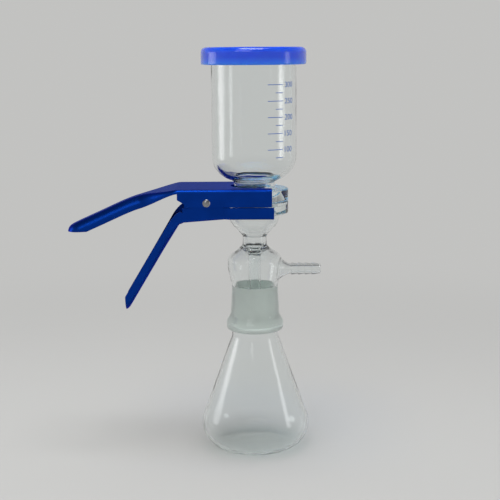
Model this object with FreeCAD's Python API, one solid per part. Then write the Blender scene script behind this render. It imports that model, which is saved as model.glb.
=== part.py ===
"""Glass vacuum filtration unit for 47 mm membranes.

A lidded funnel cup is held by a spring clamp on a filter base, whose outer ground joint stands on
the inner ground joint of a conical receiving flask.  Millimetres and degrees, +Z up.  The origin is
the centre of the flask's flat base, Z is the axis of the glass, the hose barb points to +X and the
handles of the clamp to -X.  Each piece is one solid in one file.
"""
import FreeCAD, Part
import math
import os
from FreeCAD import Vector

# ---------------------------------------------------------------- driving dimensions

through = 1.0                # how far every cut runs past the face that it opens
glass_round = 2.0            # melted edges and corners of the glass where nothing else is given

# Receiving flask
flask_radius = 48.6          # widest, at the heel
flask_heel_radius = 21.9
flask_cone_angle = 19.7      # between the wall and the axis
flask_shoulder_radius = 15.0
flask_wall = 2.2
flask_neck_step = 0.6        # radial, from the cone's large end out to the neck
flask_neck_length = 8.6
flask_bore_round = 4.0

# Conical ground joint, 40 mm at the large end, 38 mm long, 1:10 on the diameter
joint_large_radius = 20.0
joint_length = 38.0
joint_taper = 1 / 20
joint_gap = 0.05             # radial, between the two ground faces
joint_wall = 2.6
joint_rim_round = 1.2
joint_relief = 1.0           # height of the step from the flask's neck to the cone
ground_margin = 1.5          # clear glass at both ends of the ground socket
socket_overhang = 3.0        # socket below the large end of the cone
socket_wall = 2.3
socket_mouth_gap = 0.7       # radial, between the socket's mouth and the flask's neck
bead_reach = 5.4             # radial, from the cone's large end out to the bead
bead_height = 8.0
bead_round = 2.5
bead_shoulder_height = 5.6   # slope from the bead up to the socket's wall

# Vacuum dome of the filter base
dome_reach = 4.0             # radial, from the cone's large end out to the dome's belly
dome_wall = 2.1
dome_belly_height = 14.0     # from the top of the cone to the dome's widest part
dome_crown_height = 11.0     # from the widest part to the corner of the shoulder
dome_shoulder_angle = 38.0
dome_shoulder_round = 9.0
dome_bulge = 0.3             # the shoulder's corner is this much wider than the belly
dome_belly_round = 20.0
dome_foot_round = 14.0
socket_foot_round = 6.0
seal_drop = 5.0              # how far the stem reaches into the dome before it narrows
seal_thickness = 2.9         # of the ring seal below the dome's top, and of the narrowing
seal_cone = 3.0              # height of the narrowing

# Side arm with the hose barb
arm_drop = 11.4              # axis below the corner of the dome's shoulder
arm_root_radius = 12.6
arm_tube_radius = 4.4
arm_wall = 1.6
arm_flare_length = 10.0
arm_flare_round = 7.0
arm_neck = 3.2               # from the corner of the flare to the first serration
barb_count = 4
barb_pitch = 6.0
barb_radius = 5.4
barb_step = 0.4              # length of the steep face of a serration
barb_round = 0.5
barb_tip_length = 1.8
barb_tip_round = 0.8

# Stem, drip tube and bowl of the filter base
stem_radius = 10.9
stem_wall = 2.2
stem_length = 8.9
stem_round = 3.0
stem_waist = 0.5             # the stem is this much thinner where it leaves the bowl
inner_stem_radius = 10.3     # inside the dome
drip_radius = 5.6
drip_wall = 1.9
drip_into_flask = 12.0       # below the top of the flask's joint
bowl_radius = 22.2
bowl_wall = 2.5
bowl_depth = 20.6
bowl_straight = 7.9
bowl_round = 13.0
bowl_foot_round = 4.0

# Ground flanges and fritted disc
flange_radius = 30.0
flange_round = 1.4
base_flange_height = 10.9
cup_flange_height = 11.2
disc_ledge = 1.3             # radial, between the bowl's bore and the disc's edge
disc_height = 4.0
disc_gap = 0.05              # radial

# Funnel cup
cup_bore_radius = 34.05
cup_wall = 3.1
cup_height = 112.8           # from the underside of the rounded bottom to the rim
cup_bottom_round = 21.5
cup_neck_radius = 18.0
cup_neck_wall = 3.0
cup_neck_height = 6.9
cup_throat_round = 4.0       # between the neck's bore and the ground face
cup_mouth_seat = 2.0         # radial, of the disc's rim under the cup's ground face
rim_reach = 5.45             # radial, from the cup's wall out to the rim
rim_height = 6.0
rim_flare_height = 3.0       # slope from the cup's wall out to the rim
rim_round = 1.5
rim_bore_flare = 1.5
rim_bore_round = 4.0

# Silicone lid
lid_wall = 2.9
lid_top = 2.7
lid_height = 15.0
lid_round = 4.5
lid_edge_round = 1.2
lid_lip_round = 0.8
lid_gap = 0.3                # radial, around the rim
lid_lip_height = 2.2
lid_lip_reach = 1.2          # how far the lip reaches in under the rim

# Clamp, common to both levers
sheet = 2.0
fold_round = 2.8             # outer radius of a folded edge
skirt_gap = 0.5              # between the flange and the skirts
skirt_meeting_gap = 0.6      # between the edges of the upper and lower skirts
nest_gap = 0.3               # between the nested skirts at the pivot
fork_clearance = 2.8         # between the forks and the glass they straddle
fork_corner = 2.5            # radius of the prongs' inner corners
handle_half_width = 13.0
neck_steps = 10              # sections along the narrowing part of a lever
grip_steps = 4               # sections along the rest of a handle

# Upper lever
upper_jaw_end = 15.1
upper_skirt_depth = 15.1
upper_bend_offset = 25.2     # from the rivet's axis to the start of the first bend
upper_bends = [(12.0, 15.0, 25.0), (12.3, 115.0, 56.0)]   # angle, outer radius, straight after it
upper_tip_trim = (5.0, 22.0)  # start of the trimmed lip before the tip's centre, angle of its rise
upper_lip_start = 3.4        # depth of the lips where the skirts end
upper_lip_depth = 10.8
upper_lip_round = 8.0
upper_shoulder = 38.0        # length over which the lever narrows to the handle
upper_notch_length = 6.0
upper_notch_height = 3.0
upper_notch_rise = 3.6
upper_notch_round = 1.5

# Lower lever
lower_jaw_end = 16.9
lower_bend_offset = 20.0     # from the rivet's axis to the start of the bend
lower_bends = [(54.8, 6.0, 96.0)]
lower_tip_trim = (1.0, 32.0)
lower_drop = 2.6             # how far the plate slopes outward between joggle and bend
lower_lip_depth = 8.4
lower_lip_round = 6.6
lower_shoulder = 40.0
lower_joggle_offset = 15.3   # from the rivet's axis to where the skirts start to spread
lower_joggle_length = 5.0
ear_radius = 8.0
ear_foot = 6.0               # how much wider the ear is where it leaves the skirt
ear_foot_round = 3.0

# Pivot rivet and torsion spring
pin_offset = 11.3            # from the flange's edge to the rivet's axis
pin_below_top = 11.4         # axis below the outer face of the upper lever
pin_radius = 2.4
pin_running_gap = 0.05       # radial, in the ears of the lower lever
rivet_head_radius = 3.3
rivet_head_height = 1.3
spring_wire_radius = 1.0
spring_turns = 5
spring_pitch = 2.3
spring_inner_gap = 1.4       # radial, between the rivet and the coil
spring_leg = 16.5            # straight length of each leg
spring_end_gap = 0.1         # between the end of a leg and the plate it bears on

# ---------------------------------------------------------------- sizes that follow

flask_neck_radius = joint_large_radius + flask_neck_step
bead_radius = joint_large_radius + bead_reach
dome_radius = joint_large_radius + dome_reach
disc_radius = bowl_radius - bowl_wall + disc_ledge
cup_outer_radius = cup_bore_radius + cup_wall
cup_mouth_radius = disc_radius - cup_mouth_seat
rim_radius = cup_outer_radius + rim_reach

flask_turn = 90 + flask_cone_angle
flask_corner_radius = flask_radius + flask_heel_radius * (math.tan(math.radians(flask_turn / 2)) - 1)
flask_slope = math.tan(math.radians(flask_cone_angle))
flask_shoulder_z = (flask_corner_radius - flask_neck_radius) / flask_slope
joint_bottom_z = flask_shoulder_z + flask_neck_length
joint_top_z = joint_bottom_z + joint_length
dome_belly_z = joint_top_z + dome_belly_height
dome_corner_z = dome_belly_z + dome_crown_height
dome_top_z = dome_corner_z + (dome_radius - stem_radius) * math.tan(math.radians(dome_shoulder_angle))
arm_z = dome_corner_z - arm_drop
bowl_bottom_z = dome_top_z + stem_length
flange_bottom_z = bowl_bottom_z + bowl_depth
ground_face_z = flange_bottom_z + base_flange_height
flange_top_z = ground_face_z + cup_flange_height
cup_bottom_z = flange_top_z + cup_neck_height
rim_z = cup_bottom_z + cup_height

jaw_half_width = flange_radius + skirt_gap + sheet
nested_half_width = jaw_half_width - sheet - nest_gap
clamp_top_z = flange_top_z + sheet
clamp_bottom_z = flange_bottom_z - sheet
pin_x = -flange_radius - pin_offset
pin_z = clamp_top_z - pin_below_top
upper_bend_start = pin_x - upper_bend_offset
lower_bend_start = pin_x - lower_bend_offset
lower_joggle_start = pin_x + lower_joggle_offset
skirt_meeting_z = clamp_top_z - upper_skirt_depth
lower_skirt_top_z = skirt_meeting_z - skirt_meeting_gap


# ---------------------------------------------------------------- outlines

def cone_radius(z):
    """Radius of the ground joint at a height."""
    return joint_large_radius - (z - joint_bottom_z) * joint_taper


def unit(a, b):
    """Direction from a to b."""
    length = math.hypot(b[0] - a[0], b[1] - a[1])
    return ((b[0] - a[0]) / length, (b[1] - a[1]) / length)


def crossing(p, u, q, v):
    """Where the line through p along u meets the line through q along v."""
    t = ((q[0] - p[0]) * v[1] - (q[1] - p[1]) * v[0]) / (u[0] * v[1] - u[1] * v[0])
    return (p[0] + u[0] * t, p[1] + u[1] * t)


def offset(points, distance):
    """An open outline moved to its right by a distance; rounds change so that walls stay even."""
    sides = [unit(a, b) for a, b in zip(points, points[1:])]
    starts = [(p[0] + s[1] * distance, p[1] - s[0] * distance) for p, s in zip(points, sides)]
    moved = [(*starts[0], 0)]
    for i in range(1, len(sides)):
        turn = sides[i - 1][0] * sides[i][1] - sides[i - 1][1] * sides[i][0]
        corner = crossing(starts[i - 1], sides[i - 1], starts[i], sides[i])
        rounding = points[i][2] + distance * math.copysign(1, turn) if points[i][2] else 0
        moved.append((*corner, max(rounding, 0)))
    end, last = points[-1], sides[-1]
    moved.append((end[0] + last[1] * distance, end[1] - last[0] * distance, 0))
    return moved


def outline(points, place):
    """Closed wire through (a, b, rounding) corners; place turns (a, b) into a point in space."""
    edges = []
    ends = []
    for i, (a, b, rounding) in enumerate(points):
        before = unit((a, b), points[i - 1])
        after = unit((a, b), points[(i + 1) % len(points)])
        if not rounding:
            ends.append(((a, b), None, (a, b)))
            continue
        cosine = before[0] * after[0] + before[1] * after[1]
        half = math.acos(max(-1, min(1, cosine))) / 2
        reach = rounding / math.tan(half)
        first = (a + before[0] * reach, b + before[1] * reach)
        last = (a + after[0] * reach, b + after[1] * reach)
        middle = unit((0, 0), (before[0] + after[0], before[1] + after[1]))
        depth = rounding / math.sin(half) - rounding
        ends.append((first, (a + middle[0] * depth, b + middle[1] * depth), last))
    for i, (first, middle, last) in enumerate(ends):
        if middle:
            edges.append(Part.Arc(place(*first), place(*middle), place(*last)).toShape())
        start, stop = place(*last), place(*ends[(i + 1) % len(ends)][0])
        if start.distanceToPoint(stop) > 1e-6:
            edges.append(Part.LineSegment(start, stop).toShape())
    return Part.Wire(edges)


def upright(r, z):
    """A point of a profile that turns about the axis of the glass."""
    return Vector(r, 0, z)


def turned(points):
    """Solid turned about the axis of the glass from (radius, height, rounding) corners."""
    return Part.Face(outline(points, upright)).revolve(Vector(), Vector(0, 0, 1), 360)


def turned_on(points, z):
    """Solid turned about a line along X at a height, from (x, radius, rounding) corners."""
    face = Part.Face(outline(points, lambda x, r: Vector(x, 0, z + r)))
    return face.revolve(Vector(0, 0, z), Vector(1, 0, 0), 360)


def side_plate(points, half_width):
    """Prism across the clamp with an outline seen from the side."""
    face = Part.Face(outline(points, lambda x, z: Vector(x, -half_width, z)))
    return face.extrude(Vector(0, 2 * half_width, 0))


def cylinder_across(radius, half_width):
    """Cylinder along the rivet's axis."""
    return Part.makeCylinder(radius, 2 * half_width, Vector(pin_x, -half_width, pin_z), Vector(0, 1, 0))


# ---------------------------------------------------------------- glass

def receiving_flask():
    """Conical flask with a rounded heel, a short neck and the inner ground cone."""
    cone_top_radius = cone_radius(joint_top_z)
    wall = [
        (0, 0, 0),
        (flask_corner_radius, 0, flask_heel_radius),
        (flask_neck_radius, flask_shoulder_z, flask_shoulder_radius),
        (flask_neck_radius, joint_bottom_z - joint_relief, 0),
    ]
    inside = offset(wall, -flask_wall)
    cone = [(joint_large_radius, joint_bottom_z, 0), (cone_top_radius, joint_top_z, joint_rim_round)]
    bore = [
        (cone_top_radius - joint_wall, joint_top_z, joint_rim_round),
        (joint_large_radius - joint_wall, joint_bottom_z, flask_bore_round),
        (inside[-1][0], joint_bottom_z - flask_neck_length / 2, flask_bore_round),
    ]
    return turned(wall + cone + bore + inside[-2::-1])


def dome_outline():
    """Outer wall from the top of the stem to the rim bead of the socket, going down."""
    socket_bottom_z = joint_bottom_z - socket_overhang
    socket_top = cone_radius(joint_top_z) + socket_wall
    socket_foot_z = socket_bottom_z + bead_height + bead_shoulder_height
    return [
        (stem_radius, bowl_bottom_z - stem_length / 2, 0),
        (stem_radius, dome_top_z, stem_round),
        (dome_radius + dome_bulge, dome_corner_z, dome_shoulder_round),
        (dome_radius, dome_belly_z, dome_belly_round),
        (socket_top, joint_top_z - ground_margin, dome_foot_round),
        (cone_radius(socket_foot_z) + socket_wall, socket_foot_z, socket_foot_round),
    ]


def side_arm():
    """Flared arm with a serrated hose barb, and its bore: two solids turned about its axis."""
    root = dome_radius - 2 * dome_wall
    barb_start = root + arm_flare_length + arm_neck
    tip = barb_start + barb_count * barb_pitch + barb_tip_length
    serrations = []
    for i in range(barb_count):
        x = barb_start + i * barb_pitch
        serrations.append((x - barb_step, arm_tube_radius, 0))
        serrations.append((x, barb_radius, barb_round))
    flare = [
        (root, arm_root_radius, 0),
        (root + arm_flare_length, arm_tube_radius, arm_flare_round),
        (tip + through, arm_tube_radius, 0),
    ]
    shell = [
        (root, 0, 0),
        *flare[:2],
        *serrations,
        (barb_start + barb_count * barb_pitch, arm_tube_radius, 0),
        (tip, arm_tube_radius, barb_tip_round),
        (tip, 0, 0),
    ]
    bore = offset(flare, arm_wall)
    return turned_on(shell, arm_z), turned_on([(bore[0][0], 0, 0), *bore, (tip + through, 0, 0)], arm_z)


def filter_base():
    """Flange, bowl, stem, drip tube, vacuum dome, side arm and socket: one blown piece."""
    socket_bottom_z = joint_bottom_z - socket_overhang
    drip_z = joint_top_z - drip_into_flask
    bowl = [
        (bowl_radius, flange_bottom_z, glass_round),
        (bowl_radius, flange_bottom_z - bowl_straight, bowl_round),
        (stem_radius - stem_waist, bowl_bottom_z, bowl_foot_round),
    ]
    dome = dome_outline()
    bead = [
        (bead_radius, socket_bottom_z + bead_height, bead_round),
        (bead_radius, socket_bottom_z, bead_round),
    ]
    body = turned(
        [
            (0, ground_face_z, 0),
            (flange_radius, ground_face_z, flange_round / 2),
            (flange_radius, flange_bottom_z, flange_round),
            *bowl,
            *dome[1:],
            *bead,
            (0, socket_bottom_z, 0),
        ]
    )
    ground_foot_z = joint_bottom_z + ground_margin
    ground_top_z = joint_top_z - ground_margin
    mouth_radius = flask_neck_radius + socket_mouth_gap
    inner_dome = offset(dome, dome_wall)
    seal_z = dome_top_z - seal_drop
    vacuum_space = turned(
        [
            (0, socket_bottom_z - through, 0),
            (mouth_radius, socket_bottom_z - through, 0),
            (mouth_radius, joint_bottom_z, 0),
            (cone_radius(ground_foot_z) + joint_gap, ground_foot_z, 0),
            (cone_radius(ground_top_z) + joint_gap, ground_top_z, 0),
            *inner_dome[-3:1:-1],
            (inner_stem_radius, dome_top_z - seal_thickness, glass_round / 2),
            (inner_stem_radius, seal_z, stem_round),
            (drip_radius, seal_z - seal_cone, glass_round),
            (drip_radius, drip_z, 0),
            (0, drip_z, 0),
        ]
    )
    stem_bore = turned(
        [
            (0, drip_z - through, 0),
            (drip_radius - drip_wall, drip_z - through, 0),
            (drip_radius - drip_wall, seal_z - seal_cone + seal_thickness, glass_round),
            (stem_radius - stem_wall, seal_z + seal_thickness, stem_round),
            *offset(bowl, bowl_wall)[:0:-1],
            (bowl_radius - bowl_wall, ground_face_z - disc_height, 0),
            (disc_radius + disc_gap, ground_face_z - disc_height, 0),
            (disc_radius + disc_gap, ground_face_z + through, 0),
            (0, ground_face_z + through, 0),
        ]
    )
    arm, arm_bore = side_arm()
    return body.fuse(arm).cut(vacuum_space).cut(arm_bore).cut(stem_bore)


def fritted_disc():
    """Sintered disc, flush with the ground face, on a ledge above the bowl."""
    return Part.makeCylinder(disc_radius, disc_height, Vector(0, 0, ground_face_z - disc_height))


def funnel_cup():
    """Straight cup with a rounded bottom, a short neck, a thick flange and a flared rim."""
    outer = [
        (cup_mouth_radius, ground_face_z, 0),
        (flange_radius, ground_face_z, flange_round / 2),
        (flange_radius, flange_top_z, flange_round),
        (cup_neck_radius, flange_top_z, glass_round),
        (cup_neck_radius, cup_bottom_z, glass_round),
        (cup_outer_radius, cup_bottom_z, cup_bottom_round),
        (cup_outer_radius, rim_z - rim_height - rim_flare_height, rim_flare_height),
        (rim_radius, rim_z - rim_height, rim_round),
        (rim_radius, rim_z, glass_round),
    ]
    bore = [
        (cup_bore_radius + rim_bore_flare, rim_z, glass_round / 2),
        (cup_bore_radius, rim_z - rim_height, rim_bore_round),
        (cup_bore_radius, cup_bottom_z + cup_wall, cup_bottom_round - cup_wall),
        (cup_neck_radius - cup_neck_wall, cup_bottom_z + cup_wall, glass_round),
        (cup_neck_radius - cup_neck_wall, flange_top_z, cup_throat_round),
    ]
    return turned(outer + bore)


def funnel_lid():
    """Soft cap whose lip reaches in under the cup's rim."""
    bore = rim_radius + lid_gap
    outer = bore + lid_wall
    top = rim_z + lid_top
    bottom = top - lid_height
    return turned(
        [
            (0, rim_z, 0),
            (bore, rim_z, 0),
            (bore, bottom + lid_lip_height + lid_lip_reach, 0),
            (bore - lid_lip_reach, bottom + lid_lip_height, lid_lip_round),
            (bore - lid_lip_reach, bottom, lid_lip_round),
            (outer, bottom, lid_edge_round),
            (outer, top, lid_round),
            (0, top, 0),
        ]
    )


# ---------------------------------------------------------------- clamp

def channel(half_width, depth, rounding, place):
    """Closed wire of a sheet channel: crown, two rounded edges and two lips that point inward."""
    inner = rounding - sheet
    half, inside = half_width, half_width - sheet
    corners = [
        (-half, -depth, 0),
        (-half, 0, rounding),
        (half, 0, rounding),
        (half, -depth, 0),
        (inside, -depth, 0),
        (inside, -sheet, inner),
        (-inside, -sheet, inner),
        (-inside, -depth, 0),
    ]
    return outline(corners, place)


def station(x, z, heading, side):
    """Placer of a section across the lever: x and z lie on its outer face, which faces side."""
    angle = math.radians(heading)
    normal = Vector(math.sin(angle), 0, math.cos(angle)) * side

    def place(across, outward):
        return Vector(x, across, z) + normal * outward

    return place


def ease(share):
    """Smooth step from 0 to 1."""
    return share * share * (3 - 2 * share)


def lever_path(x, z, heading, bends, side):
    """Placer of sections by distance along a lever's outer face, and the distance to its tip.

    side is 1 where the outer face looks up and -1 where it looks down.  The path runs to -X and
    its heading is the angle that it has turned down; each bend turns it further down.
    """
    pieces = []
    for angle, radius, straight in bends:
        arc = radius * math.radians(angle)
        pieces.append((x, z, heading, arc, 1 / radius))
        chord = 2 * radius * math.sin(math.radians(angle / 2))
        way = math.radians(heading + angle / 2)
        x, z = x - chord * math.cos(way), z - chord * math.sin(way)
        heading += angle
        pieces.append((x, z, heading, straight, 0))
        way = math.radians(heading)
        x, z = x - straight * math.cos(way), z - straight * math.sin(way)
    total = sum(piece[3] for piece in pieces)

    def at(distance):
        for x0, z0, start, length, bending in pieces:
            if distance <= length + 1e-9:
                break
            distance -= length
        turn = distance * bending
        way = math.radians(start) + turn / 2
        reach = distance if not bending else 2 / bending * math.sin(turn / 2)
        place_x, place_z = x0 - reach * math.cos(way), z0 - reach * math.sin(way)
        return station(place_x, place_z, -start - math.degrees(turn), side)

    return at, total


def handle(at, total, jaw, grip, shoulder, trim):
    """Narrowing part of a lever and its handle with a rounded, trimmed tip.

    jaw and grip hold (half width, depth, rounding) at the start and at the handle, shoulder is the
    length over which they change, and trim is for trimmed_tip.
    """
    def section(distance):
        share = ease(min(distance / shoulder, 1))
        half, depth, rounding = (a + (b - a) * share for a, b in zip(jaw, grip))
        return channel(half, depth, rounding, at(distance))

    def loft(start, stop, steps):
        sections = [section(start + (stop - start) * i / steps) for i in range(steps + 1)]
        return Part.makeLoft(sections, True, False)

    tip_centre = total - handle_half_width
    lever = loft(0, shoulder, neck_steps).fuse(loft(shoulder, tip_centre, grip_steps))
    place = at(tip_centre)
    base, normal = place(0, 0), place(0, 1) - place(0, 0)
    along = (at(total)(0, 0) - base).normalize()
    half_section = Part.Face(section(tip_centre)).common(block_beside(base, along.cross(normal), total))
    tip = half_section.revolve(base, normal, 180)
    return trimmed_tip(lever.fuse(tip), base, normal, along, grip[1], trim)


def block_beside(base, across, size):
    """Block on the side of a handle's middle plane that across points to."""
    block = Part.makeBox(size, size, size, Vector(-size / 2, 0, -size / 2))
    turn = FreeCAD.Rotation(Vector(0, 1, 0), across)
    return block.transformed(FreeCAD.Placement(base, turn).toMatrix())


def trimmed_tip(lever, base, normal, along, depth, trim):
    """The lip at the tip rises towards the end of the handle."""
    before, rise_angle = trim
    slope = math.radians(rise_angle)
    start = base - along * before - normal * depth
    rise = along * math.cos(slope) + normal * math.sin(slope)
    across = along.cross(normal)
    reach = 2 * handle_half_width + before
    corners = [start, start + rise * reach, start + rise * reach - normal * reach, start - normal * reach]
    wire = Part.makePolygon([corner - across * reach for corner in corners + corners[:1]])
    return lever.cut(Part.Face(wire).extrude(across * 2 * reach))


def fork_slot(jaw_end, glass_radius, low, high):
    """Slot of a fork, open at the jaw's end, with rounded inner corners at the prongs' tips."""
    half = glass_radius + fork_clearance
    round_end = Part.makeCylinder(half, high - low, Vector(0, 0, low))
    straight = Part.makeBox(jaw_end + through, 2 * half, high - low, Vector(0, -half, low))
    corners = []
    for side in (-1, 1):
        block = Part.makeBox(
            fork_corner + through, fork_corner, high - low,
            Vector(jaw_end - fork_corner, half if side > 0 else -half - fork_corner, low),
        )
        post = Part.makeCylinder(
            fork_corner, high - low, Vector(jaw_end - fork_corner, side * (half + fork_corner), low)
        )
        corners.append(block.cut(post))
    return round_end.fuse([straight, *corners])


def channel_run(start, end, depth, side):
    """Straight length of lever between two (x, height of the outer face, half width, heading)."""
    ends = [
        channel(half, depth, fold_round, station(x, z, -heading, side))
        for x, z, half, heading in (start, end)
    ]
    return Part.makeLoft(ends, True, True)


def clamp_upper_lever():
    """Upper lever: fork over the cup's flange, skirts down its sides, handle to -X."""
    body = channel_run(
        (upper_bend_start, clamp_top_z, jaw_half_width, 0),
        (upper_jaw_end, clamp_top_z, jaw_half_width, 0),
        upper_skirt_depth,
        1,
    )
    notch_x = upper_bend_start + upper_notch_length
    notch_z = skirt_meeting_z + upper_notch_height
    notch = side_plate(
        [
            (upper_bend_start - through, skirt_meeting_z - through, 0),
            (notch_x, skirt_meeting_z - through, 0),
            (notch_x, notch_z, upper_notch_round),
            (upper_bend_start, notch_z + upper_notch_rise, 0),
            (upper_bend_start - through, notch_z + upper_notch_rise, 0),
        ],
        jaw_half_width + through,
    )
    path = lever_path(upper_bend_start, clamp_top_z, 0, upper_bends, 1)
    grip = handle(
        *path,
        (jaw_half_width, upper_lip_start, fold_round),
        (handle_half_width, upper_lip_depth, upper_lip_round),
        upper_shoulder,
        upper_tip_trim,
    )
    slot = fork_slot(upper_jaw_end, cup_neck_radius, flange_top_z - through, clamp_top_z + through)
    lever = body.cut(notch).cut(slot).fuse(grip)
    return lever.cut(cylinder_across(pin_radius, jaw_half_width + through))


def lower_plate_slope():
    """Angle at which the lower lever's plate falls from the joggle to the bend."""
    return math.degrees(math.atan2(lower_drop, lower_joggle_start - lower_bend_start))


def clamp_lower_lever():
    """Lower lever: fork under the base's flange, skirts nested at the pivot, handle to -X."""
    depth = pin_z + ear_radius - clamp_bottom_z + lower_drop
    slope = lower_plate_slope()
    folds = [
        (lower_bend_start, clamp_bottom_z - lower_drop, nested_half_width, slope),
        (lower_joggle_start, clamp_bottom_z, nested_half_width, 0),
        (lower_joggle_start + lower_joggle_length, clamp_bottom_z, jaw_half_width, 0),
        (lower_jaw_end, clamp_bottom_z, jaw_half_width, 0),
    ]
    runs = [channel_run(start, end, depth, -1) for start, end in zip(folds, folds[1:])]
    body = runs[0].fuse(runs[1:])
    low = clamp_bottom_z - lower_drop - through
    back = lower_bend_start - depth
    keep = side_plate(
        [
            (back, low, 0),
            (lower_jaw_end, low, 0),
            (lower_jaw_end, lower_skirt_top_z, 0),
            (pin_x + ear_radius + ear_foot, lower_skirt_top_z, ear_foot_round),
            (pin_x + ear_radius, pin_z, 0),
            (pin_x + ear_radius, pin_z + ear_radius, ear_radius),
            (pin_x - ear_radius, pin_z + ear_radius, ear_radius),
            (pin_x - ear_radius, pin_z, 0),
            (pin_x - ear_radius - ear_foot, lower_skirt_top_z, ear_foot_round),
            (back, lower_skirt_top_z, 0),
        ],
        jaw_half_width + through,
    )
    path = lever_path(lower_bend_start, clamp_bottom_z - lower_drop, slope, lower_bends, -1)
    grip = handle(
        *path,
        (nested_half_width, lower_lip_depth, fold_round),
        (handle_half_width, lower_lip_depth, lower_lip_round),
        lower_shoulder,
        lower_tip_trim,
    )
    slot = fork_slot(lower_jaw_end, bowl_radius, clamp_bottom_z - through, flange_bottom_z + through)
    lever = body.common(keep).cut(slot).fuse(grip)
    return lever.cut(cylinder_across(pin_radius + pin_running_gap, jaw_half_width + through))


def clamp_pivot_pin():
    """Rivet with a low domed head outside each skirt of the upper lever."""
    shank = cylinder_across(pin_radius, jaw_half_width)
    cap_radius = (rivet_head_radius ** 2 + rivet_head_height ** 2) / (2 * rivet_head_height)
    heads = []
    for side in (-1, 1):
        centre = Vector(pin_x, side * (jaw_half_width + rivet_head_height - cap_radius), pin_z)
        ball = Part.makeSphere(cap_radius, centre)
        slab = Part.makeCylinder(
            rivet_head_radius + through, rivet_head_height,
            Vector(pin_x, side * jaw_half_width, pin_z), Vector(0, side, 0),
        )
        heads.append(ball.common(slab))
    return shank.fuse(heads)


def leg_slope(coil_radius, room):
    """Angle at which a leg leaves the coil so that its end lies a wire's radius from a plate."""
    height = room - spring_wire_radius - spring_end_gap
    return math.asin(height / math.hypot(coil_radius, spring_leg)) - math.atan2(coil_radius, spring_leg)


def clamp_spring():
    """Torsion spring round the rivet; one leg bears on each lever, and they push the handles apart."""
    coil_radius = pin_radius + spring_inner_gap + spring_wire_radius
    up = leg_slope(coil_radius, clamp_top_z - sheet - pin_z)
    slope = math.radians(lower_plate_slope())
    plate_z = clamp_bottom_z - (lower_joggle_start - pin_x) * math.tan(slope)
    down = slope + leg_slope(coil_radius, (pin_z - plate_z) * math.cos(slope) - sheet)
    turns = spring_turns + (math.pi - up - down) / (2 * math.pi)
    width = turns * spring_pitch
    coil = Part.makeHelix(spring_pitch, width, coil_radius)
    rotation = FreeCAD.Rotation(
        Vector(math.sin(up), 0, math.cos(up)), Vector(math.cos(up), 0, -math.sin(up)), Vector(0, 1, 0)
    )
    coil.Placement = FreeCAD.Placement(Vector(pin_x, -width / 2, pin_z), rotation)
    path = Part.Wire(coil.Edges)
    first, last = path.OrderedEdges[0], path.OrderedEdges[-1]
    start, start_way = first.valueAt(first.FirstParameter), first.tangentAt(first.FirstParameter)
    end, end_way = last.valueAt(last.LastParameter), last.tangentAt(last.LastParameter)
    ring = Part.Wire(Part.makeCircle(spring_wire_radius, start, start_way))
    winding = path.makePipeShell([ring], True, True)
    legs = [
        Part.makeCylinder(spring_wire_radius, spring_leg, start, start_way * -1),
        Part.makeCylinder(spring_wire_radius, spring_leg, end, end_way),
    ]
    return winding.fuse(legs)


builders = {
    "receiving_flask": receiving_flask,
    "filter_base": filter_base,
    "fritted_disc": fritted_disc,
    "funnel_cup": funnel_cup,
    "funnel_lid": funnel_lid,
    "clamp_upper_lever": clamp_upper_lever,
    "clamp_lower_lever": clamp_lower_lever,
    "clamp_pivot_pin": clamp_pivot_pin,
    "clamp_spring": clamp_spring,
}

if __name__ == "__main__":
    os.makedirs("parts", exist_ok=True)
    for name, build in builders.items():
        solids = build().removeSplitter().Solids
        if len(solids) != 1 or not solids[0].isValid():
            raise ValueError(f"{name} is {len(solids)} solids, or isn't valid")
        solids[0].exportStep(f"parts/{name}.step")
        print(f"{name}: {solids[0].Volume / 1000:.2f} cm3")
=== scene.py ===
"""Looks of a glass vacuum filtration unit, built round its packed CAD frame.

A lidded funnel cup is clamped on a filter base, whose ground socket stands on the cone of a conical
flask.  The glass, the lid, the spring and the printed scale are new pieces; the levers, the rivet
and the disc are the frame's own nodes with better finishes.  Metres, +Z up along the glass.
"""
import math

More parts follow.
